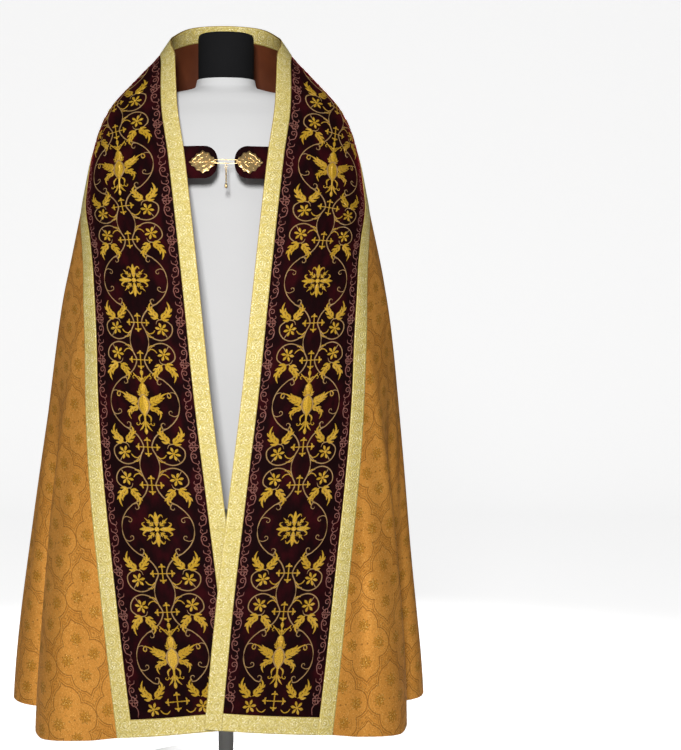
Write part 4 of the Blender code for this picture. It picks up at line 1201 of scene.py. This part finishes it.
def thread_finish(name, metallic, colour, edge, painted_sheen):
    """Stitches lie slantwise across each motif: a wave of the chart's length plus a little of its width."""
    mat, tree, shader, chart = finish_of(name, 0.36, metallic, Specular_IOR_Level=0.5)
    x, y = parted(tree, chart)
    uneven = noise(tree, chart, 420.0, 2.0)
    veined = y.slope(0.029, 0.031)
    aside = abs(y - 0.01 - veined * 0.04)
    stitch = ((x * 5200.0) + aside * 2600.0 + uneven * 4.0).calc("SINE")
    # rim: each motif's sloping sides, painted darker towards the edge colour as painted shade
    rim = aside.slope(0.0062, 0.0086)
    shade, deep = (tuple(part * c for c in colour) for part in (0.30, 0.16))
    # painted sheen: along each stitch's crest the colour is blended towards the lighter sheen colour
    layered(tree, shader, blended(tree, stitch.slope(-0.7, 0.9) * 0.8, colour, painted_sheen), (rim * 0.8, edge),
            (uneven.slope(0.50, 0.36) * 0.55, shade), (aside.slope(0.0016, 0.0006) * veined * 0.8, deep))
    raised(tree, shader, stitch * 0.5 + uneven, 0.0003, 0.8)
    return mat


def bullion_finish():
    """Dull gold strands with a slanting ply."""
    mat, tree, shader, chart = finish_of("bullion fringe", 0.45, 0.3, Specular_IOR_Level=0.5)
    x, y = parted(tree, chart)
    ply = ((x + y * 0.3) * 2600.0).calc("SINE")
    uneven = noise(tree, chart, 60.0, 3.0)
    # the ply layer is a painted highlight: each coil's crest is painted lighter
    layered(tree, shader, blended(tree, uneven.slope(0.3, 0.7), (0.15, 0.085, 0.016), (0.31, 0.195, 0.048)),
            (ply.slope(-0.6, 0.8) * 0.4, (0.46, 0.31, 0.09)))
    raised(tree, shader, ply, 0.0004, 0.6)
    return mat


def object_finish(name, roughness, metallic, grain, lift, low, high, **fixed):
    """A finish on object coordinates: two close colours clouded together and a fine grain."""
    mat, tree, shader, _ = finish_of(name, roughness, metallic, **fixed)
    place = tree.nodes.new("ShaderNodeTexCoord").outputs["Object"]
    cloud, fine = noise(tree, place, 9.0, 3.0), noise(tree, place, grain, 3.0)
    layered(tree, shader, blended(tree, cloud * 0.5 + fine * 0.5, low, high))
    feed(tree, shader.inputs["Roughness"], fine * 0.16 + (roughness - 0.08))
    raised(tree, shader, fine, lift, 0.6)
    return mat


def make_finishes():
    """Every material by its short name, made once."""
    return {
        "brocade": brocade_finish(), "velvet": velvet_finish(), "braid": braid_finish(),
        "edging": plain_braid_finish(), "lining": lining_finish(), "bullion": bullion_finish(),
        # each thread: its metal, its colour, the colour of its rim's painted shade and of its stitches' painted
        # sheen
        "gold thread": thread_finish("gold thread", 0.25, (0.46, 0.250, 0.008), (0.15, 0.070, 0.004),
                                     (0.78, 0.49, 0.030)),
        "pale thread": thread_finish("pale thread", 0.15, (0.36, 0.21, 0.070), (0.22, 0.12, 0.04),
                                     (0.46, 0.30, 0.12)),
        "rose thread": thread_finish("rose thread", 0.0, (0.20, 0.062, 0.045), (0.16, 0.05, 0.035),
                                     (0.30, 0.11, 0.08)),
        "gilt": object_finish("gilt metal", 0.30, 1.0, 900.0, 0.0002, (0.62, 0.40, 0.15), (0.86, 0.64, 0.32)),
        "cover": object_finish("jersey cover", 0.85, 0.0, 700.0, 0.0005, (0.49, 0.49, 0.49),
                               (0.54, 0.54, 0.54), Sheen_Weight=0.2),
        "felt": object_finish("black felt", 0.9, 0.0, 500.0, 0.0006, (0.0030, 0.0030, 0.0034),
                              (0.008, 0.008, 0.009), Specular_IOR_Level=0.15),
        "steel": object_finish("painted steel", 0.42, 0.0, 300.0, 0.0002, (0.58, 0.58, 0.56),
                               (0.66, 0.66, 0.64)),
    }


FINISHES = {}


def finishes(*names):
    """The materials of these names."""
    if not FINISHES:
        FINISHES.update(make_finishes())
    return [FINISHES[name] for name in names]


# ---- settings and operators --------------------------------------------------------------------------
class CopeSettings(bpy.types.PropertyGroup):
    """Sizes of the finished cloth that may be changed before the operators run."""
    crease_depth: bpy.props.FloatProperty(
        name="Crease Depth", description="How deep the soft creases are, as a part of their drawn depth",
        default=1.0, min=0.0, max=1.5, subtype="FACTOR")
    embroidery_lift: bpy.props.FloatProperty(
        name="Embroidery Lift", description="Height of the stitches' foot above the velvet", default=0.0002,
        min=0.0, max=0.002, unit="LENGTH")
    strand_gap: bpy.props.FloatProperty(
        name="Strand Gap", description="Distance between the strands of the fringe", default=0.0027,
        min=0.002, max=0.01, unit="LENGTH")
    strand_radius: bpy.props.FloatProperty(
        name="Strand Radius", description="Radius of one twisted strand", default=0.00115,
        min=0.0005, max=0.003, unit="LENGTH")


class COPE_OT_body(bpy.types.Operator):
    """Brocade back and side panels with their lining"""
    bl_idname = "cope.body"
    bl_label = "Brocade Panels"

    def execute(self, context):
        for side, word in SIDES:
            panel = cloth("cloth_side_" + word, side_grid(side), "brocade", "body_" + word,
                          lambda face: on_the_round(face, 0, side * FRONT_TURN, 1))
        panel = cloth("cloth_back", back_grid(), "brocade", "body_back", lambda face: on_the_round(face, -1))
        return {"FINISHED"}


def hem(angle):
    """Height of the hem at an angle."""
    return through(np.abs(angle), HEM)


def panel_height(angle, level):
    """Height at a level from 0 at the hem to 1 at the top of the panels."""
    return hem(angle) + level * (PANEL_TOP - hem(angle))


def panel_level(angle, height):
    """The level of a height: the reverse of panel_height."""
    return (height - hem(angle)) / (PANEL_TOP - hem(angle))


def seam_angle(level, top):
    """Angle of the seam of side and back, which spreads to the end of the yoke."""
    return SEAM_ANGLE + (YOKE_ANGLE - SEAM_ANGLE) * smooth(level, 0.60, top)


def side_grid(side):
    """From under the outer braid round to the seam; each row starts at a cross line of the band and keeps
    its level."""
    share = along(0, share_of(YOKE_ANGLE), 0.009)
    angle, height = cross_lines(side, share, [(1, SEAM_GAP / 2 - BAND_BRAID / 2), (1, 0)])
    level = panel_level(angle[:, 1], height[:, 1])
    level[0] = 0
    seam = seam_angle(level, level[-1]) + SEAM_TURN
    seam[-1] = abs(angle[-1, 1])
    start = np.abs(angle[:, 1:2])
    columns = np.linspace(OUTER_EDGE[-1][0], SEAM_ANGLE, 92)[None, 1:-1]
    columns = side * np.c_[np.clip(columns, seam[:, None], start), seam]
    heights = panel_height(columns, level[:, None])
    heights[-1] = height[-1, 1]
    return np.c_[angle, columns], np.c_[height, heights]


def back_grid():
    """From under the yoke's lower braid down to the hem between the two seams."""
    lower, upper = along(0, share_of(YOKE_ANGLE), 0.011), along(share_of(YOKE_ANGLE), 1, 0.0042)
    places = [(1, SEAM_GAP / 2 - BAND_BRAID / 2), (1, 0)]
    level = panel_level(*(grid[:, 0] for grid in cross_lines(1, lower, places[1:])))
    level[0] = 0
    top = [cross_lines(side, upper, places) for side in (-1, 1)]
    angle = np.r_[top[0][0][:-1], top[1][0][:-1][::-1]].T
    height = np.r_[top[0][1][:-1], top[1][1][:-1][::-1]].T
    across = angle[1] / np.abs(angle[1]).max()
    reach = panel_level(angle[1], height[1]) / level[-1]
    down = across * (seam_angle(level, level[-1]) - SEAM_TURN)[:-1][::-1, None]
    heights = panel_height(down, level[:-1][::-1, None] * reach)
    angle[:, 0] += SEAM_TURN
    angle[:, -1] -= SEAM_TURN
    return np.r_[angle, down], np.r_[height, heights]


class COPE_OT_bands(bpy.types.Operator):
    """Velvet bands down the front, over the shoulders and across the yoke, with their lining"""
    bl_idname = "cope.bands"
    bl_label = "Velvet Bands"

    def execute(self, context):
        places = [(0, 0), (0, BAND_BRAID / 2), *between_braids(27), (1, -BAND_BRAID / 2 - SEAM_GAP / 2)]
        for side, word in SIDES:
            band = cloth("velvet_band_" + word, cross_lines(side, along(0, 1), places), "velvet",
                         "orphrey_" + word)
        return {"FINISHED"}


class COPE_OT_band_embroidery(bpy.types.Operator):
    """Medallions, vine scrolls and border scrolls in raised thread on both bands"""
    bl_idname = "cope.band_embroidery"
    bl_label = "Band Embroidery"

    def execute(self, context):
        motifs, borders = band_chart()
        for side, word in SIDES:
            lay = band_lay(side, context.scene.cope.embroidery_lift)
            threads = finishes("gold thread", "pale thread", "rose thread")
            stitched("band_motifs_" + word, motifs, lay, threads)
            stitched("band_borders_" + word, borders, lay, threads)
        return {"FINISHED"}


def braid_strip(name, grid, node, mat="braid", width=BAND_BRAID, lift=SEAM_GAP + BRAID_WALL,
                inside=False, crosswise=False):
    """A woven strip, a little domed: its middle stands BRAID_DOME (1 - c^2) above its edges. Its chart runs
    across from its own middle line and along from its start; a crosswise grid has its rows along the
    strip."""
    c = np.linspace(-1, 1, grid[0].shape[1])[None]
    dome = BRAID_DOME * (1 - c ** 2)
    top, foot = (lift - BRAID_WALL - dome, lift) if inside else (lift + dome, lift - BRAID_WALL)
    face, back = on_cloth(*grid, top), on_cloth(*grid, foot + 0 * dome)
    chart = spread(face)
    chart[..., 0] -= chart[..., 0].mean(axis=1, keepdims=True)
    if crosswise:
        chart = np.stack([run(face) - width / 2, run(face.transpose(1, 0, 2)).T], -1)
    strip = shell(name, face, back, chart, finishes(mat), node=[node], slot="braid")


class COPE_OT_braids(bpy.types.Operator):
    """Gold braid along both edges of the bands, round their feet and down centre back"""
    bl_idname = "cope.braids"
    bl_label = "Gold Braids"

    def execute(self, context):
        share, eighths = along(0, 1), np.linspace(0, 1, 9)
        for side, word in SIDES:
            for edge, length, places in (("inner", 1.66, [(0, BAND_BRAID * k) for k in eighths]),
                                         ("outer", 1.59, [(1, BAND_BRAID * (k - 1)) for k in eighths])):
                braid_strip(f"gold_braid_{edge}_{word}", cross_lines(side, share, places),
                            f"{edge}_braid_{word}")
            foot = cross_lines(side, BAND_BRAID / 1.62 * eighths, between_braids(33, BAND_BRAID + SEAM_GAP))
            braid_strip("gold_braid_hem_" + word, foot, "hem_braid_" + word, crosswise=True)
        centre = np.degrees(BAND_BRAID / 2 / through(OUTER_EDGE[0][1], BACK))
        middle = round_the_neck(np.linspace(share_of(centre), 1, 5),
                                between_braids(34, BAND_BRAID + SEAM_GAP))
        braid_strip("gold_braid_centre_back", middle, "centre_back_braid",
                    crosswise=True)
        return {"FINISHED"}


def round_the_neck(share, places):
    """Cross lines of both bands in one grid, through centre back."""
    grids = [cross_lines(side, share, places) for side in (-1, 1)]
    return [np.r_[one, other[::-1]] for one, other in zip(*grids)]


class COPE_OT_neck(bpy.types.Operator):
    """Braid and lining on the inside of the standing neck"""
    bl_idname = "cope.neck"
    bl_label = "Neck Trim"

    def execute(self, context):
        share = along(COLLAR_SHARE + 0.004, 1)
        inside = -CLOTH_WALL - SEAM_GAP
        grid = round_the_neck(share, [(0, BAND_BRAID * k / 6) for k in range(7)])
        braid_strip("gold_braid_neck", grid, "neck_braid", lift=inside, inside=True)
        places = [(0, BAND_BRAID + SEAM_GAP)] + [(p, 0) for p in np.linspace(0.16, 0.64, 12)]
        facing = cloth("neck_facing", round_the_neck(share, places), "lining", "neck_lining", top=inside,
                       wall=BRAID_WALL)
        return {"FINISHED"}


class COPE_OT_hood(bpy.types.Operator):
    """Velvet hood with its edging braid"""
    bl_idname = "cope.hood"
    bl_label = "Hood"

    def execute(self, context):
        across = np.sin(np.linspace(-1, 1, 91) * np.pi / 2)[None]
        *grid, lift = hood_points(across, np.linspace(0, 1, 61)[:, None])
        hood = cloth("velvet_hood", grid, "velvet", "hood", top=lift + HOOD_WALL, wall=HOOD_WALL)
        angle, height, lift = hood_outline(90, 140)
        sideways = beside(angle, height)
        places = np.linspace(-HOOD_BRAID, -SEAM_GAP, 7)
        rows = [on_bell(bell(angle, height) + sideways * place, angle) for place in places]
        grid = [np.array([row[k] for row in rows]).T for k in (0, 1)]
        lift = (lift + HOOD_WALL + HOOD_BRAID_LIFT + BRAID_WALL)[:, None]
        braid_strip("hood_edging", grid, "hood_braid", "edging", HOOD_BRAID, lift)
        return {"FINISHED"}


class COPE_OT_hood_embroidery(bpy.types.Operator):
    """Wheat, grapes, flowers and acanthus in raised gold thread on the hood"""
    bl_idname = "cope.hood_embroidery"
    bl_label = "Hood Embroidery"

    def execute(self, context):
        stitched("hood_motifs", hood_chart(), hood_lay(context.scene.cope.embroidery_lift),
                 finishes("gold thread", "pale thread", "rose thread"))
        return {"FINISHED"}


class COPE_OT_fringe(bpy.types.Operator):
    """Twisted bullion strands hanging from the hood's edge"""
    bl_idname = "cope.fringe"
    bl_label = "Bullion Fringe"

    def execute(self, context):
        angle, height, lift = hood_outline(160, 400)
        out = beside(angle, height)
        length = run(bell(angle, height))
        count = int(length[-1] / context.scene.cope.strand_gap)
        at = np.linspace(0, length[-1], count)
        start = bell(angle, height) + out * FRINGE_GAP
        fall = out * FRINGE_SPREAD + np.array([0, 0, -1])
        fall /= np.linalg.norm(fall, axis=-1, keepdims=True)
        start = np.stack([np.interp(at, length, start[:, k]) for k in range(3)], -1)
        fall = np.stack([np.interp(at, length, fall[:, k]) for k in range(3)], -1)
        near, lift = np.interp(at, length, angle), np.interp(at, length, lift)
        part = np.linspace(0, 1, 10)[None, :, None]
        phase = np.arange(count)[:, None]
        wave = np.sin(phase * 2.4) + 2.2 * np.sin(phase * 0.61) + 1.5 * np.sin(phase * 0.23)
        long = FRINGE_LENGTH * (1 + 0.03 * np.sin(phase * 5.1))[..., None]
        line = start[:, None] + fall[:, None] * part * long
        angles, heights = on_bell(line, near[:, None])
        angles = angles + 0.22 * wave * part[..., 0] ** 1.5
        hang = (lift + HOOD_WALL)[:, None] + 0.0004 * np.cos(phase * 1.7) - 0.0006
        centre = on_cloth(angles, heights, hang)
        radius = context.scene.cope.strand_radius * np.ones(centre.shape[:2])
        twist = part[..., 0] * 26 + phase * 1.3
        points = tubes(centre, radius, outwards(angles, heights), 6, twist=twist)
        chart = np.stack(np.broadcast_arrays(part * FRINGE_LENGTH + phase[..., None] * 0.013,
                                             np.arange(6)[None, None] * 0.001), -1)
        fringe = put("bullion_fringe", points.reshape(-1, 3), tube_faces(count, 10, 6), finishes("bullion"),
                     chart.reshape(-1, 2), node=["hood_fringe"], slot="bullion")
        if fringe.dimensions.z < FRINGE_LENGTH:
            raise RuntimeError("the fringe doesn't hang")
        return {"FINISHED"}


def tab_front(x, z):
    """Depth of a tab's front face: flat, receding towards the band and leaning with the chest."""
    return MORSE_FRONT + (np.abs(x) - TAB_END) * TAB_RECEDE + (z - MORSE_HEIGHT) * MORSE_LEAN


def tab_lay(side, lift):
    """Lays a chart on a tab: across from the middle of the fastening towards the band, up from its middle
    line."""
    def lay(across, up, height):
        x, z = side * across, MORSE_HEIGHT + up
        return np.stack([x, tab_front(x, z) - lift - height, z], -1)
    return lay


class COPE_OT_fastening(bpy.types.Operator):
    """Velvet tabs with rounded ends, two pierced leaf clasps and the wire link between them"""
    bl_idname = "cope.fastening"
    bl_label = "Chest Fastening"

    def execute(self, context):
        velvet, gilt = finishes("velvet"), finishes("gilt")
        for side, word in SIDES:
            turn = np.linspace(-np.pi / 2, np.pi / 2, 41)
            x = np.r_[TAB_START, TAB_END + TAB_NOSE * (1 - np.cos(turn)), TAB_START]
            z = np.r_[-TAB_HALF, TAB_HALF * np.sign(turn) * np.abs(np.sin(turn)) ** 0.8, TAB_HALF]
            u = np.array([0.0, 0.5, 0.9, 0.97, 1.0])[None]
            middle = np.array([(TAB_START + TAB_END) / 2, 0.0])
            ring = middle + (np.c_[x, z] - middle)[:, None] * u[..., None]
            crown = 0.0006 * (1 - np.clip((u - 0.9) / 0.1, 0, 1) ** 2) - 0.0006
            lay = tab_lay(side, 0.0)
            face = lay(ring[..., 0], ring[..., 1], crown + 0 * ring[..., 0])
            back = lay(ring[..., 0], ring[..., 1], -TAB_WALL - crown + 0 * ring[..., 0])
            tab = put("velvet_tab_" + word, *capped(face, back, side), velvet,
                      np.tile(ring.reshape(-1, 2), (2, 1)),
                      node=["morse_tab_" + word], slot="velvet")
            stitched("leaf_clasp_" + word, clasp_chart(), tab_lay(side, SEAM_GAP), gilt,
                     node=["clasp_" + word], slot="gilt")
        turn = np.linspace(0, 2 * np.pi, 64, endpoint=False)
        x = np.cos(turn)
        middle = np.c_[LINK_HALF_HEIGHT * x + np.sign(x) * LINK_STRAIGHT, LINK_FRONT + 0 * x,
                       MORSE_HEIGHT + LINK_HALF_HEIGHT * np.sin(turn)]
        ring_tube("wire_link", middle, LINK_WIRE, (0, 1, 0), gilt, ["clasp_hook"], "root")
        return {"FINISHED"}


def capped(face, back, side):
    """Points and faces of a domed plate whose first and last columns are its middle and its rim."""
    rows, columns = face.shape[:2]
    count = rows * columns
    top = quads(rows, columns)
    i = np.arange(rows - 1) * columns + columns - 1
    rim = np.stack([i, i + columns, i + columns + count, i + count], -1)
    last = (rows - 1) * columns
    closing = np.stack([np.arange(columns - 1), last + np.arange(columns - 1), last + np.arange(1, columns),
                        np.arange(1, columns)], -1)
    under = np.r_[top, closing][:, ::-1] + count
    lip = np.array([[columns - 1, columns - 1 + count, last + columns - 1 + count, last + columns - 1]])
    faces = np.r_[top, closing, under, rim, lip]
    return np.r_[face.reshape(-1, 3), back.reshape(-1, 3)], faces if side > 0 else faces[:, ::-1]


def ring_tube(name, middle, radius, normal, mats, node, body):
    """A closed wire along a loop of points."""
    lines = middle[None]
    points = tubes(lines, radius + 0 * lines[..., 0], np.array(normal, float) + 0 * lines, 10, True)
    chart = np.zeros((points.size // 3, 2))
    return put(name, points.reshape(-1, 3), tube_faces(1, len(middle), 10, True), mats, chart, node=node,
               body=body, slot="gilt")


def leaf_edge(turn, part):
    """A leaf's outline pointed at both ends, y = 1 - |x|^1.7 with x = cos(turn), with a serrated rim."""
    x, y = np.cos(turn), np.sign(np.sin(turn)) * (1 - np.abs(np.cos(turn)) ** 1.7)
    spikes = 1 + CLASP_SPIKE * (1 - 4 * np.abs((turn * CLASP_SPIKES / (2 * np.pi)) % 1 - 0.5)) * part ** 2
    return np.stack([CLASP_MIDDLE * 1000 + CLASP_LENGTH * 485 * x * part * (0.5 * spikes + 0.5),
                     CLASP_HEIGHT * 500 * y * part * spikes * (1 - 0.12 * x)], -1)


def clasp_chart():
    """A serrated plate; on it an outer and an inner wire, blades and curls between them, a rib, beads and
    the stud."""
    thick = CLASP_WALL * 1000
    turn = np.linspace(0, 2 * np.pi, 8 * CLASP_SPIKES + 1)
    u = np.linspace(0, 1, 9)
    plate = np.stack([leaf_edge(turn, part) for part in np.r_[u, 1.0]], 1)
    rise = thick * np.r_[0.50 - 0.18 * u ** 4, 0.02]
    parts = [(np.dstack([plate, rise[None] + 0 * plate[..., 0]]), np.zeros(plate.shape[:2] + (2,)), 0)]
    for part, width in ((0.80, 1.7), (0.42, 1.3)):
        parts.append(drawn(leaf_edge(turn[::4], part), width, high=thick))
    for k in range(14):
        a = np.array(2 * np.pi * (k + 0.5) / 14)
        parts.append(drawn([leaf_edge(a, p) for p in (0.46, 0.60, 0.76)], 3.0, "petal", high=thick * 0.95))
        parts.append(drawn([leaf_edge(a, p) for p in (0.84, 0.92, 0.99)], 2.6, "petal", high=thick * 0.8))
    for k in range(6):
        a = np.array(np.pi * (k + 0.5) / 3)
        parts.append(drawn([leaf_edge(a, p) for p in (0.06, 0.22, 0.38)], 3.2, "petal", high=thick))
    parts.append(drawn([leaf_edge(np.array(a), 0.97) for a in (0.0, np.pi)], 1.6, high=thick * 1.05))
    return parts + [knot((CLASP_MIDDLE * 1000, 0), 3.0), knot((STUD_AT * 1000, 0), 2.2)]


class COPE_OT_pendant(bpy.types.Operator):
    """Small ring and beaded drop that hang from the link, each on its own moving part"""
    bl_idname = "cope.pendant"
    bl_label = "Pendant"

    def execute(self, context):
        gilt = finishes("gilt")
        turn = np.linspace(0, 2 * np.pi, 40, endpoint=False)
        low = MORSE_HEIGHT - LINK_HALF_HEIGHT - (RING_MAJOR - RING_WIRE - LINK_WIRE - SEAM_GAP)
        middle = np.c_[0 * turn, LINK_FRONT + RING_MAJOR * np.cos(turn), low + RING_MAJOR * np.sin(turn)]
        ring_tube("drop_ring", middle, RING_WIRE, (1, 0, 0), gilt, ["pendant_ring"], "pendant_ring")
        centre = low - RING_MAJOR - (LOOP_MAJOR - LOOP_WIRE - RING_WIRE - SEAM_GAP)
        middle = np.c_[LOOP_MAJOR * np.cos(turn), LINK_FRONT + 0 * turn, centre + LOOP_MAJOR * np.sin(turn)]
        ring_tube("drop_loop", middle, LOOP_WIRE, (0, 1, 0), gilt, ["pendant"], "pendant")
        top = centre - LOOP_MAJOR
        beads = [(0.0004, 0.0006)]
        for i in range(7):
            beads += [(0.0012 + 0.0042 * (i + k / 6),
                       (0.0005, 0.0013, 0.0017, 0.0018, 0.0017, 0.0013)[k]) for k in range(6)]
        beads += [(0.0306, 0.0005), (0.0316, 0.0014), (0.0340, 0.0022), (0.0365, 0.0029), (0.0390, 0.0029),
                  (0.0412, 0.0024), (0.0427, 0.0014), (0.0430, 0.0002)]
        spin = np.linspace(0, 2 * np.pi, 20, endpoint=False)
        down, radius = np.array(beads).T
        points = np.stack([radius[:, None] * np.cos(spin), LINK_FRONT + radius[:, None] * np.sin(spin),
                           (top - down)[:, None] + 0 * spin], -1)
        put("drop_beads", points.reshape(-1, 3), quads(len(beads), 20, True)[:, ::-1], gilt,
            np.zeros((points.size // 3, 2)), body="pendant", slot="gilt")
        return {"FINISHED"}


def oval(height, half_width, front, back, count=96, power=2.0):
    """A ring |x / w|^p + |y / d|^p = 1 whose depth differs in front and behind."""
    turn = np.linspace(0, 2 * np.pi, count, endpoint=False)
    cos, sin = np.cos(turn), np.sin(turn)
    depth = np.where(sin < 0, front, back)
    squash = (np.abs(cos) ** power + np.abs(sin) ** power) ** (-1 / power)
    return np.c_[half_width * cos * squash, depth * sin * squash, height + 0 * turn]


def turned_solid(name, rings, mats, node, slot):
    """A closed solid through rings, shut at both ends by rings drawn in to a point."""
    rings = [rings[0].mean(0) + (rings[0] - rings[0].mean(0)) * 0.001, *rings,
             rings[-1].mean(0) + (rings[-1] - rings[-1].mean(0)) * 0.001]
    points = np.stack(rings)
    return put(name, points.reshape(-1, 3), quads(len(rings), points.shape[1], True), mats,
               np.zeros((points.size // 3, 2)), node=[node], slot=slot, sharp=40)


class COPE_OT_form(bpy.types.Operator):
    """Jersey-covered torso, black neck block, pole and round base of the dress form"""
    bl_idname = "cope.form"
    bl_label = "Dress Form"

    def execute(self, context):
        levels = np.r_[np.linspace(0.56, 1.38, 60), np.linspace(1.385, 1.472, 30)]
        sizes = [[(k[0], k[i]) for k in TORSO] for i in (1, 2, 3)]
        torso = [oval(z, *(through(z, size) for size in sizes), power=2.3) for z in levels]
        turned_solid("form_cover", torso, finishes("cover"), "form_torso", "cover")
        half_width, front, back = NECK_BLOCK
        neck = [oval(z, half_width * s, front * s, back * s, 64) for z, s in NECK]
        turned_solid("form_neck_block", neck, finishes("felt"), "form_neck", "felt")
        pole = [oval(z, POLE_RADIUS, POLE_RADIUS, POLE_RADIUS, 32) for z in POLE]
        turned_solid("form_stand", pole, finishes("steel"), "form_pole", "steel")
        base = [oval(z, r, r, r, 96) for z, r in BASE]
        turned_solid("form_foot", base, finishes("steel"), "form_base", "steel")
        return {"FINISHED"}


class COPE_OT_stage(bpy.types.Operator):
    """Pale floor that curves up all round, soft lights and the camera"""
    bl_idname = "cope.stage"
    bl_label = "Stage"

    def execute(self, context):
        scene = context.scene
        turn = np.linspace(0, np.pi / 2, 20)
        bend = np.c_[FLOOR_FLAT + FLOOR_CURVE * np.sin(turn), FLOOR_CURVE * (1 - np.cos(turn))]
        path = np.r_[[(0.01, 0.0)], bend, [(FLOOR_FLAT + FLOOR_CURVE, FLOOR_TOP)]]
        round_it = np.linspace(0, 2 * np.pi, 96, endpoint=False)
        grid = np.stack([path[:, :1] * np.cos(round_it), path[:, :1] * np.sin(round_it),
                         path[:, 1:] + 0 * round_it], -1)
        mesh = bpy.data.meshes.new("floor")
        mesh.from_pydata(grid.reshape(-1, 3).tolist(), [], quads(len(path), 96, True).tolist())
        mesh.shade_smooth()
        floor = bpy.data.objects.new("floor", mesh)
        scene.collection.objects.link(floor)
        paper, _, shader, _ = finish_of("white paper", 0.9)
        shader.inputs["Base Color"].default_value = (PAPER, PAPER, PAPER, 1)
        shader.inputs["Emission Color"].default_value = (1, 1, 1, 1)
        seen = Value(paper.node_tree,
                     paper.node_tree.nodes.new("ShaderNodeLightPath").outputs["Is Camera Ray"])
        feed(paper.node_tree, shader.inputs["Emission Strength"], seen * PAPER_GLOW)
        mesh.materials.append(paper)
        lights = [self.light(scene, *values) for values in LIGHTS]
        world = bpy.data.worlds.new("studio")
        world.use_nodes = True
        world.node_tree.nodes["Background"].inputs["Color"].default_value = (1, 1, 1, 1)
        world.node_tree.nodes["Background"].inputs["Strength"].default_value = WORLD_LIGHT
        scene.world = world
        scene.view_settings.view_transform = "Standard"
        camera = bpy.data.objects.new("camera", bpy.data.cameras.new("camera"))
        camera.data.lens, camera.data.sensor_fit, camera.data.sensor_width = LENS, "AUTO", 36.0
        camera.location = CAMERA_PLACE
        camera.rotation_euler = (np.pi / 2, 0, -np.radians(CAMERA_TURN))
        scene.collection.objects.link(camera)
        scene.camera = camera
        return {"FINISHED"}

    def light(self, scene, name, place, size, power):
        """One square soft light that looks at the cope."""
        data = bpy.data.lights.new(name, "AREA")
        data.size, data.energy, data.spread = size, power, np.radians(LIGHT_SPREAD)
        lamp = bpy.data.objects.new(name, data)
        scene.collection.objects.link(lamp)
        lamp.location = place
        way = Vector(LIGHT_AIM) - Vector(place)
        lamp.rotation_euler = way.to_track_quat("-Z", "Y").to_euler()
        return lamp


class COPE_PT_panel(bpy.types.Panel):
    """Sizes and the pieces in the order they are made"""
    bl_idname = "COPE_PT_panel"
    bl_label = "Cope"
    bl_space_type = "VIEW_3D"
    bl_region_type = "UI"
    bl_category = "Cope"

    def draw(self, context):
        for name in CopeSettings.__annotations__:
            self.layout.prop(context.scene.cope, name)
        for piece in PIECES:
            self.layout.operator(piece.bl_idname)


PIECES = (COPE_OT_body, COPE_OT_bands, COPE_OT_band_embroidery, COPE_OT_braids, COPE_OT_neck, COPE_OT_hood,
          COPE_OT_hood_embroidery, COPE_OT_fringe, COPE_OT_fastening, COPE_OT_pendant, COPE_OT_form,
          COPE_OT_stage)


def register():
    for cls in (CopeSettings, *PIECES, COPE_PT_panel):
        bpy.utils.register_class(cls)
    bpy.types.Scene.cope = bpy.props.PointerProperty(type=CopeSettings)


def unregister():
    del bpy.types.Scene.cope
    for cls in (COPE_PT_panel, *reversed(PIECES), CopeSettings):
        bpy.utils.unregister_class(cls)


def main():
    register()
    for piece in PIECES:
        getattr(bpy.ops.cope, piece.bl_idname.split(".")[1])()


if __name__ == "__main__":
    main()
